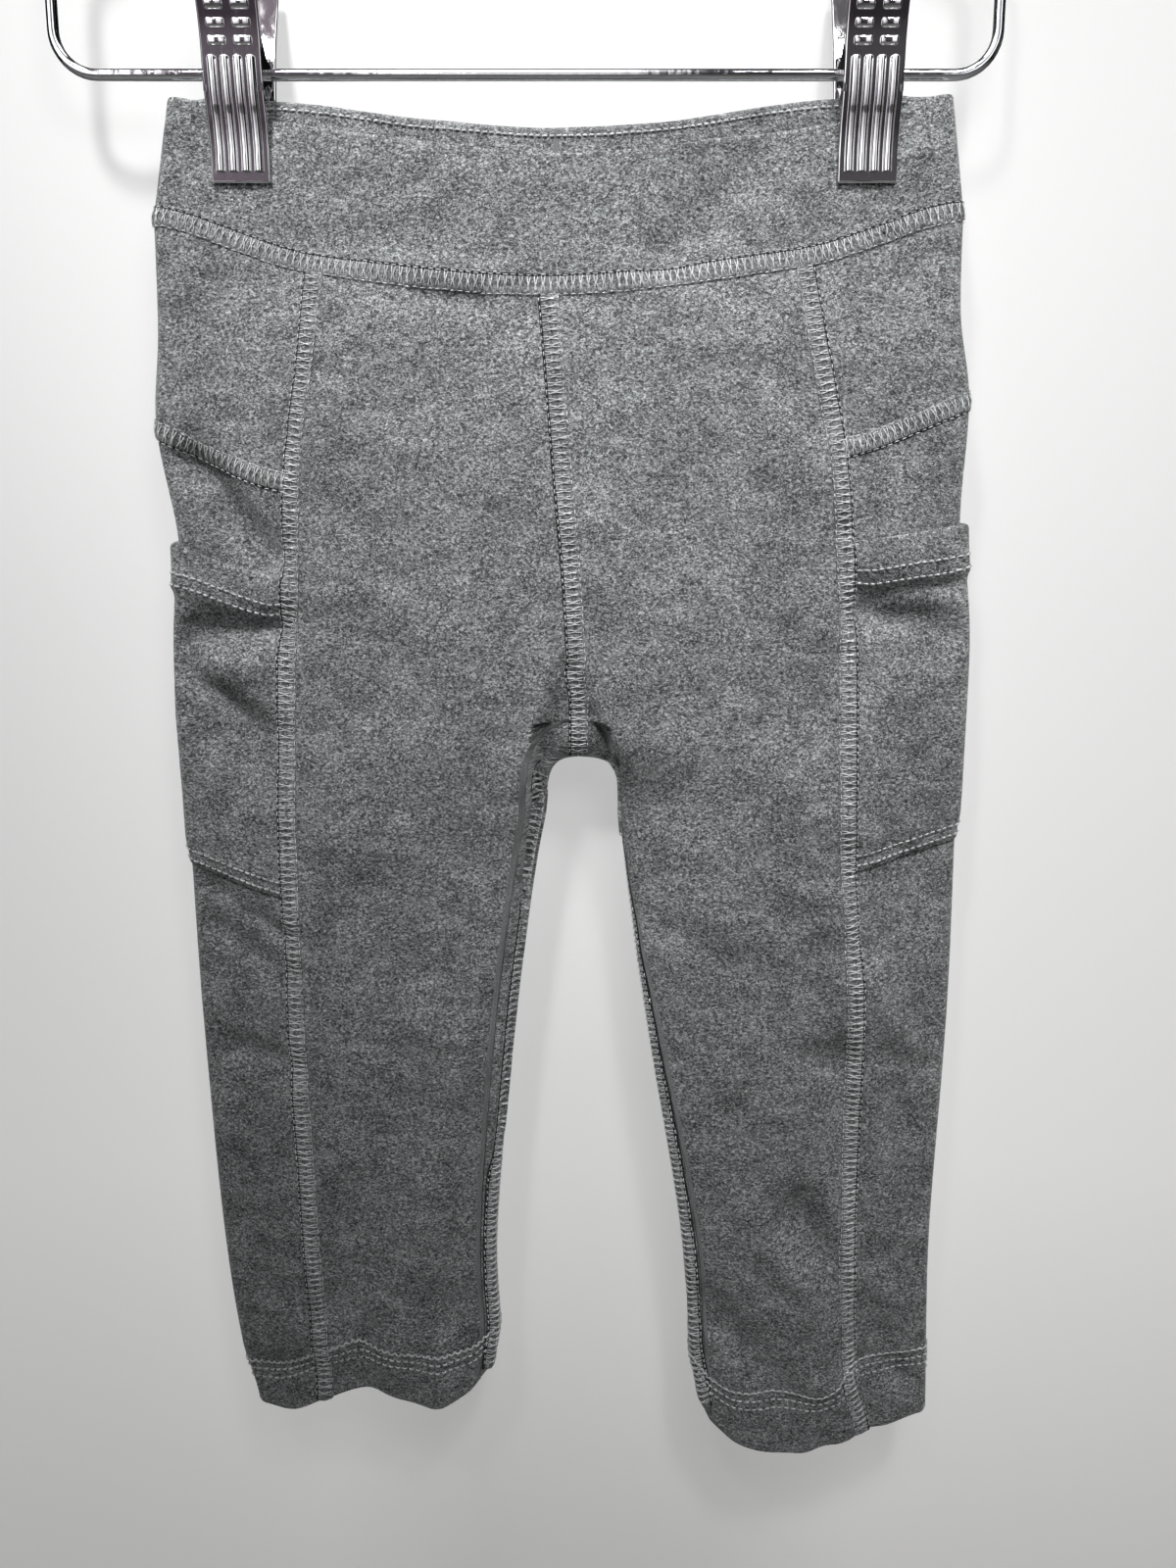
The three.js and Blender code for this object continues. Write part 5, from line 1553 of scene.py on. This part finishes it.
print("group:", jersey_group.name)


# %% Cloth materials
def new_material(name):
    material = bpy.data.materials.new(name)
    material.use_nodes = True
    tree = material.node_tree
    return material, tree, tree.nodes["Principled BSDF"]


def uv_input(tree):
    return node(tree, "ShaderNodeUVMap", {"uv_map": "cloth"}).outputs[0]


def jersey_material(name, dark, light, clouds, bump=0.7):
    material, tree, shader = new_material(name)
    group = tree.nodes.new("ShaderNodeGroup")
    group.node_tree = jersey_group
    group.inputs["Dark Fibre"].default_value = (*dark, 1)
    group.inputs["Light Fibre"].default_value = (*light, 1)
    group.inputs["Clouds"].default_value = clouds
    tree.links.new(uv_input(tree), group.inputs["Flat Cloth"])
    tree.links.new(group.outputs["Color"], shader.inputs["Base Color"])
    raised = node(tree, "ShaderNodeBump", {"Strength": bump, "Distance": 0.00022},
                  Height=group.outputs["Height"])
    tree.links.new(raised.outputs[0], shader.inputs["Normal"])
    shader.inputs["Roughness"].default_value = 0.93
    shader.inputs["Specular IOR Level"].default_value = 0.18
    shader.inputs["Sheen Weight"].default_value = 0.22
    shader.inputs["Sheen Roughness"].default_value = 0.45
    return material, tree, shader, group


jersey, *_ = jersey_material("heather jersey", (0.036, 0.038, 0.0388), (0.70, 0.722, 0.727), 1.0)
print("material:", jersey.name)

# %% [markdown]
# The cloth under a flat seam is squeezed by the threads. It is the same jersey in a darker tone, with paler
# stripes along it. One border carries a dark line of painted shade, where the dip beside the seam would lie
# in shadow. Its flat coordinates run along the seam and across it, so those lines are simple bands.

# %% Seam cloth and sewing thread
seam_cloth, tree, shader, group = jersey_material(
    "seam jersey", (0.050, 0.052, 0.053), (0.52, 0.535, 0.54), 0.3, 0.6)
split = node(tree, "ShaderNodeSeparateXYZ", None, Vector=uv_input(tree))
across = maths(tree, "ADD", maths(tree, "MULTIPLY", split.outputs[1], 1000.0 / 6.4), 0.5)
# across the seam: paler stripes, and a dark line along one border that is painted shade
border = ramp(tree, across, [(0.0, (1.3,) * 3), (0.05, (1.0,) * 3), (0.16, (1.3,) * 3), (0.5, (1.0,) * 3),
                             (0.83, (1.3,) * 3), (0.87, (0.12,) * 3), (0.96, (0.12,) * 3),
                             (1.0, (0.35,) * 3)])
colour = blended(tree, "MULTIPLY", 1.0, group.outputs["Color"], border)
tree.links.new(colour, shader.inputs["Base Color"])


def thread_finish(name, brightness):
    material, tree, shader = new_material(name)
    place = node(tree, "ShaderNodeTexCoord").outputs["Object"]
    twist = noise_of(tree, mapped(tree, place, (900, 900, 900)), 1.0, 2.0, 0.6, 0.2)
    patch = noise_of(tree, mapped(tree, place, (90, 90, 90)), 1.0, 2.0, 0.5)
    stops = [(0.34, 0.30), (0.52, 0.54), (0.68, 0.78)]
    mixed = maths(tree, "ADD", maths(tree, "MULTIPLY", twist, 0.6), maths(tree, "MULTIPLY", patch, 0.4))
    tone = ramp(tree, mixed, [(at, tuple(tone * brightness * tint for tint in (1, 1.02, 1.025)))
                              for at, tone in stops])
    tree.links.new(tone, shader.inputs["Base Color"])
    raised = node(tree, "ShaderNodeBump", {"Strength": 0.4, "Distance": 0.0001}, Height=twist)
    tree.links.new(raised.outputs[0], shader.inputs["Normal"])
    shader.inputs["Roughness"].default_value = 0.78
    shader.inputs["Specular IOR Level"].default_value = 0.25
    return material


thread_material = thread_finish("sewing thread", 1.35)
row_thread = thread_finish("cover thread", 1.15)
print("material:", thread_material.name)

# %% [markdown]
# Chrome plate mirrors whatever is near it, so its look comes from the light round it. Still, real
# plate is not perfect: it is a little wavy where the steel was stamped, and handling leaves fine
# rubbed marks that blur the reflection. One group makes both, with coarse values for the jaws and
# finer ones for the wire. The spring is bare steel with drawing marks along the wire.

# %% Metal group and materials
metal_group, metal_in, metal_out = new_group(
    "Handled Metal",
    [("Place", "NodeSocketVector", None), ("Size", "NodeSocketFloat", 1.0),
     ("Clean", "NodeSocketFloat", 0.06),
     ("Rubbed", "NodeSocketFloat", 0.26), ("Tone", "NodeSocketColor", (0.86, 0.865, 0.875, 1)),
     ("Dull Tone", "NodeSocketColor", (0.62, 0.60, 0.61, 1))],
    [("Color", "NodeSocketColor"), ("Roughness", "NodeSocketFloat"), ("Height", "NodeSocketFloat")])
tree = metal_group
scaled = node(tree, "ShaderNodeVectorMath", {"operation": "SCALE"},
              Vector=metal_in.outputs["Place"], Scale=metal_in.outputs["Size"]).outputs[0]
rub = noise_of(tree, mapped(tree, scaled, (420, 420, 160), 20), 1.0, 4.0, 0.65, 0.5)
wavy = noise_of(tree, mapped(tree, scaled, (170, 170, 130)), 1.0, 2.0, 0.5)
speck = noise_of(tree, mapped(tree, scaled, (2200, 2200, 2200)), 1.0, 2.0, 0.6)
worn = node(tree, "ShaderNodeMapRange", {"From Min": 0.46, "From Max": 0.74}, Value=rub).outputs[0]
blur = node(tree, "ShaderNodeMapRange", None, Value=worn)
tree.links.new(metal_in.outputs["Clean"], blur.inputs["To Min"])
tree.links.new(metal_in.outputs["Rubbed"], blur.inputs["To Max"])
dull = maths(tree, "MULTIPLY", maths(tree, "ADD", worn, maths(tree, "MULTIPLY", speck, 0.35)), 0.55)
tree.links.new(blended(tree, "MIX", dull, metal_in.outputs["Tone"], metal_in.outputs["Dull Tone"]),
               metal_out.inputs["Color"])
tree.links.new(blur.outputs[0], metal_out.inputs["Roughness"])
tree.links.new(maths(tree, "ADD", wavy, maths(tree, "MULTIPLY", speck, 0.04)), metal_out.inputs["Height"])


def metal_material(name, size, clean, rubbed, tone, dull_tone, bump):
    material, tree, shader = new_material(name)
    group = tree.nodes.new("ShaderNodeGroup")
    group.node_tree = metal_group
    for label, value in (("Size", size), ("Clean", clean), ("Rubbed", rubbed),
                         ("Tone", (*tone, 1)), ("Dull Tone", (*dull_tone, 1))):
        group.inputs[label].default_value = value
    tree.links.new(node(tree, "ShaderNodeTexCoord").outputs["Object"], group.inputs["Place"])
    tree.links.new(group.outputs["Color"], shader.inputs["Base Color"])
    tree.links.new(group.outputs["Roughness"], shader.inputs["Roughness"])
    raised = node(tree, "ShaderNodeBump", {"Strength": bump, "Distance": 0.0006},
                  Height=group.outputs["Height"])
    tree.links.new(raised.outputs[0], shader.inputs["Normal"])
    shader.inputs["Metallic"].default_value = 1.0
    return material


chrome_sheet = metal_material("stamped chrome", 1.0, 0.04, 0.13, (0.84, 0.84, 0.85), (0.58, 0.55, 0.57), 0.10)
chrome_wire = metal_material("chromed wire", 1.4, 0.05, 0.15, (0.83, 0.84, 0.86), (0.62, 0.62, 0.63), 0.15)
bare_spring = metal_material("spring steel", 2.5, 0.22, 0.42, (0.56, 0.56, 0.57), (0.33, 0.32, 0.31), 0.3)
print("metals:", chrome_sheet.name, chrome_wire.name, bare_spring.name)

# %% [markdown]
# Every piece is put on the body it rides on and given its material, and the CAD node it replaces is hidden.
# The size each panel was cut to is listed. The seams lie on their panels.

# %% Finishes, nodes and cut sizes
# width, length and area of the flat pieces, in metres
CUTS = {
    "waistband": (0.500, 0.040, 0.020),
    "front_right": (0.105, 0.370, 0.032),
    "front_left": (0.105, 0.375, 0.032),
    "back_right": (0.125, 0.375, 0.036),
    "back_left": (0.125, 0.380, 0.036),
    "yoke_right": (0.100, 0.060, 0.005),
    "yoke_left": (0.100, 0.060, 0.005),
    "side_right": (0.085, 0.320, 0.024),
    "side_left": (0.085, 0.330, 0.024),
    "pocket_right": (0.080, 0.105, 0.008),
    "pocket_left": (0.080, 0.105, 0.008),
}


def dress(piece, material, slot, *nodes):
    piece.data.materials.clear()
    piece.data.materials.append(material)
    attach(piece, "root")
    if nodes:
        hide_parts(*nodes)


sewn_on = {key: [] for key in CUTS}
for name, (host, _) in seams.items():
    dress(seam_bands[name], seam_cloth, "jersey")
    dress(ladders[name], thread_material, "jersey")
    sewn_on[host] += [seam_bands[name], ladders[name]]
for half, row in hem_rows.values():
    dress(row, row_thread, "jersey")
    sewn_on[f"front_{half}"].append(row)
for half, row in pocket_rows.values():
    dress(row, row_thread, "jersey")
    sewn_on[f"pocket_{half}"].append(row)
dress(band_row, row_thread, "jersey")
sewn_on["waistband"].append(band_row)
for key, piece in pieces.items():
    dress(piece, jersey, "jersey", key)
    width, length, area = CUTS[key]
dress(hanger_frame, chrome_wire, "chrome", "hanger_frame")
dress(hanger_hook, chrome_wire, "chrome", "hanger_hook")
for key, piece in clip_pieces.items():
    if key.endswith("spring"):
        dress(piece, bare_spring, "spring_steel", key)
    else:
        dress(piece, chrome_sheet, "chrome", key)
print("pieces dressed:", len(pieces) + sum(len(each) for each in sewn_on.values()) + 2 + len(clip_pieces))

# %% [markdown]
# The object hangs a finger's width in front of a pale wall, over a pale floor. Two lamps high above the
# camera shine down as ceiling lights do, and a weak soft one stands in front. So the top of the garment is
# bright and the legs fall off towards the hems. The wall itself glows, and its light is painted: darker
# towards the bottom, with a painted shadow of the legs in the gap between them. Chrome also mirrors the room,
# so the world behind the camera has light and dark stripes. The wall lets the camera and the light through
# from behind, so that the back can be looked at as well.

# %% Wall and floor
WALL_Y = 0.019
FLOOR_Z = -0.80


def stage_plane(name, size, location, rotation):
    begin()
    bpy.ops.mesh.primitive_plane_add(size=size, location=location, rotation=rotation)
    bpy.ops.object.transform_apply(location=True, rotation=True, scale=True)
    plane = bpy.context.object
    plane.name = name
    return plane


wall = stage_plane("wall", 4, (0, WALL_Y, -0.4), (math.pi / 2, 0, 0))
floor = stage_plane("floor", 6, (0, 0, FLOOR_Z), (0, 0, 0))
for plane, name, tone in ((wall, "pale wall", 0.46), (floor, "pale floor", 0.6)):
    material, tree, shader = new_material(name)
    place = node(tree, "ShaderNodeTexCoord").outputs["Object"]
    soft = noise_of(tree, mapped(tree, place, (3, 3, 3)), 1.0, 3.0, 0.5)
    tint = ramp(tree, soft, [(0.35, (tone * 0.97, tone * 0.97, tone * 0.96)),
                             (0.65, (tone, tone, tone * 0.99))])
    tree.links.new(tint, shader.inputs["Base Color"])
    shader.inputs["Roughness"].default_value = 0.9
    if plane is wall:
        # the wall glows by emission: painted light, darker towards the bottom as the lamps' light falls off
        high = node(tree, "ShaderNodeSeparateXYZ", None, Vector=place).outputs[2]
        lift = ramp(tree, maths(tree, "MULTIPLY", high, -1.0),
                    [(0.05, (0.50,) * 3), (0.30, (0.44,) * 3), (0.50, (0.45, 0.448, 0.445)),
                     (0.75, (0.29, 0.287, 0.284))])
        # painted shadow of the legs: the glow is dimmed in the gap between the legs, below the crotch
        along = node(tree, "ShaderNodeSeparateXYZ", None, Vector=place).outputs[0]
        between = ramp(tree, maths(tree, "ADD", maths(tree, "MULTIPLY", along, 2.0), 0.5),
                       [(0.34, (1.0,) * 3), (0.46, (0.84,) * 3), (0.62, (0.84,) * 3), (0.74, (1.0,) * 3)])
        below = ramp(tree, maths(tree, "MULTIPLY", high, -1.0), [(0.34, (0.0,) * 3), (0.46, (1.0,) * 3)])
        lift = blended(tree, "MULTIPLY", below, lift, between)
        tree.links.new(lift, shader.inputs["Emission Color"])
        shader.inputs["Emission Strength"].default_value = 1.0
        clear = tree.nodes.new("ShaderNodeBsdfTransparent")
        path = tree.nodes.new("ShaderNodeLightPath")
        behind = tree.nodes.new("ShaderNodeNewGeometry").outputs["Backfacing"]
        through_wall = maths(tree, "MAXIMUM", behind, path.outputs["Is Shadow Ray"])
        through_wall = maths(tree, "MAXIMUM", through_wall, path.outputs["Is Glossy Ray"])
        both = tree.nodes.new("ShaderNodeMixShader")
        tree.links.new(through_wall, both.inputs[0])
        tree.links.new(shader.outputs[0], both.inputs[1])
        tree.links.new(clear.outputs[0], both.inputs[2])
        tree.links.new(both.outputs[0], tree.nodes["Material Output"].inputs["Surface"])
    if plane is floor:
        looked_at = tree.nodes.new("ShaderNodeLightPath").outputs["Is Camera Ray"]
        glow = blended(tree, "MIX", looked_at, (0, 0, 0, 1), (0.4, 0.4, 0.398, 1))
        tree.links.new(glow, shader.inputs["Emission Color"])
        shader.inputs["Emission Strength"].default_value = 1.0
    plane.data.materials.append(material)
print("wall stands", WALL_Y, "m behind the hanger's wire")


# %% Lights
def soft_light(name, location, target, size, watts, shade=(1, 1, 1)):
    data = bpy.data.lights.new(name, "AREA")
    data.shape = "DISK"
    data.size = size
    data.energy = watts
    data.color = shade
    lamp = bpy.data.objects.new(name, data)
    lamp.location = location
    lamp.rotation_euler = (Vector(target) - Vector(location)).to_track_quat("-Z", "Y").to_euler()
    lamp.visible_glossy = False
    bpy.context.scene.collection.objects.link(lamp)
    return lamp


def spot_light(name, location, target, size, watts, degrees):
    data = bpy.data.lights.new(name, "SPOT")
    data.shadow_soft_size = size
    data.energy = watts
    data.spot_size = math.radians(degrees)
    data.spot_blend = 1.0
    lamp = bpy.data.objects.new(name, data)
    lamp.location = location
    lamp.rotation_euler = (Vector(target) - Vector(location)).to_track_quat("-Z", "Y").to_euler()
    bpy.context.scene.collection.objects.link(lamp)
    return lamp


spot_light("ceiling_right", (0.30, -0.62, 0.62), (0.18, 0, -0.25), 0.10, 38, 27.5)
spot_light("ceiling_left", (-0.28, -0.62, 0.62), (-0.07, 0, -0.13), 0.10, 57, 25)
soft_light("front", (0.12, -0.46, 0.02), (0.03, 0, -0.12), 0.22, 0.9)
soft_light("back", (0.3, 1.0, 0.2), (0, 0, -0.35), 0.9, 5.0)
world = bpy.data.worlds.new("studio")
bpy.context.scene.world = world
world.use_nodes = True
tree = world.node_tree
ways = node(tree, "ShaderNodeTexCoord").outputs["Generated"]
split = node(tree, "ShaderNodeSeparateXYZ", None, Vector=ways)
# each direction from -1..1 as 0..1: 0 is left, front or down
leftward, backward, upward = [maths(tree, "ADD", maths(tree, "MULTIPLY", split.outputs[k], 0.5), 0.5)
                              for k in range(3)]
room = ramp(tree, upward, [(0.0, (0.10,) * 3), (0.42, (0.16, 0.15, 0.16)),
                           (0.56, (0.42, 0.42, 0.43)), (1.0, (0.85,) * 3)])
seen = node(tree, "ShaderNodeLightPath").outputs["Is Camera Ray"]
background = tree.nodes["Background"]
mirrored = node(tree, "ShaderNodeLightPath").outputs["Is Glossy Ray"]
dim = blended(tree, "MULTIPLY", 1.0, room, (0.035, 0.035, 0.036, 1))
stripes = ramp(tree, leftward,
               [(0.0, (0.1,) * 3), (0.08, (0.05,) * 3), (0.12, (4.0,) * 3), (0.335, (5.0,) * 3),
                (0.352, (0.33, 0.27, 0.32)), (0.408, (0.29, 0.25, 0.28)),
                (0.425, (3.4,) * 3), (0.51, (3.0,) * 3), (0.54, (0.04,) * 3),
                (0.57, (0.17, 0.16, 0.17)), (0.63, (0.17, 0.16, 0.17)), (0.65, (3.2,) * 3),
                (0.78, (2.8,) * 3), (0.82, (0.03,) * 3), (0.95, (0.03,) * 3), (1.0, (0.3,) * 3)])
behind = ramp(tree, upward, [(0.22, (0.04,) * 3), (0.30, (0.8,) * 3),
                             (0.56, (0.8,) * 3), (0.62, (0.04,) * 3)])
turned = ramp(tree, backward, [(0.42, (0.0,) * 3), (0.52, (1.0,) * 3)])
far = blended(tree, "MIX", turned, (1, 1, 1, 1), behind)
stripes = blended(tree, "MULTIPLY", 1.0, stripes, far)
middle = ramp(tree, leftward, [(0.43, (0.0,) * 3), (0.46, (1.0,) * 3),
                               (0.54, (1.0,) * 3), (0.57, (0.0,) * 3)])
line = ramp(tree, upward, [(0.60, (1.0,) * 3), (0.64, (0.1,) * 3), (0.71, (0.1,) * 3), (0.75, (1.0,) * 3)])
stripes = blended(tree, "MULTIPLY", middle, stripes, line)
room = blended(tree, "MULTIPLY", 1.0, room, stripes)
tree.links.new(blended(tree, "MIX", seen, blended(tree, "MIX", mirrored, dim, room), (0.65, 0.65, 0.65, 1)),
               background.inputs["Color"])
background.inputs["Strength"].default_value = 1.0
bpy.context.scene.view_settings.view_transform = "Standard"
print("lights set")
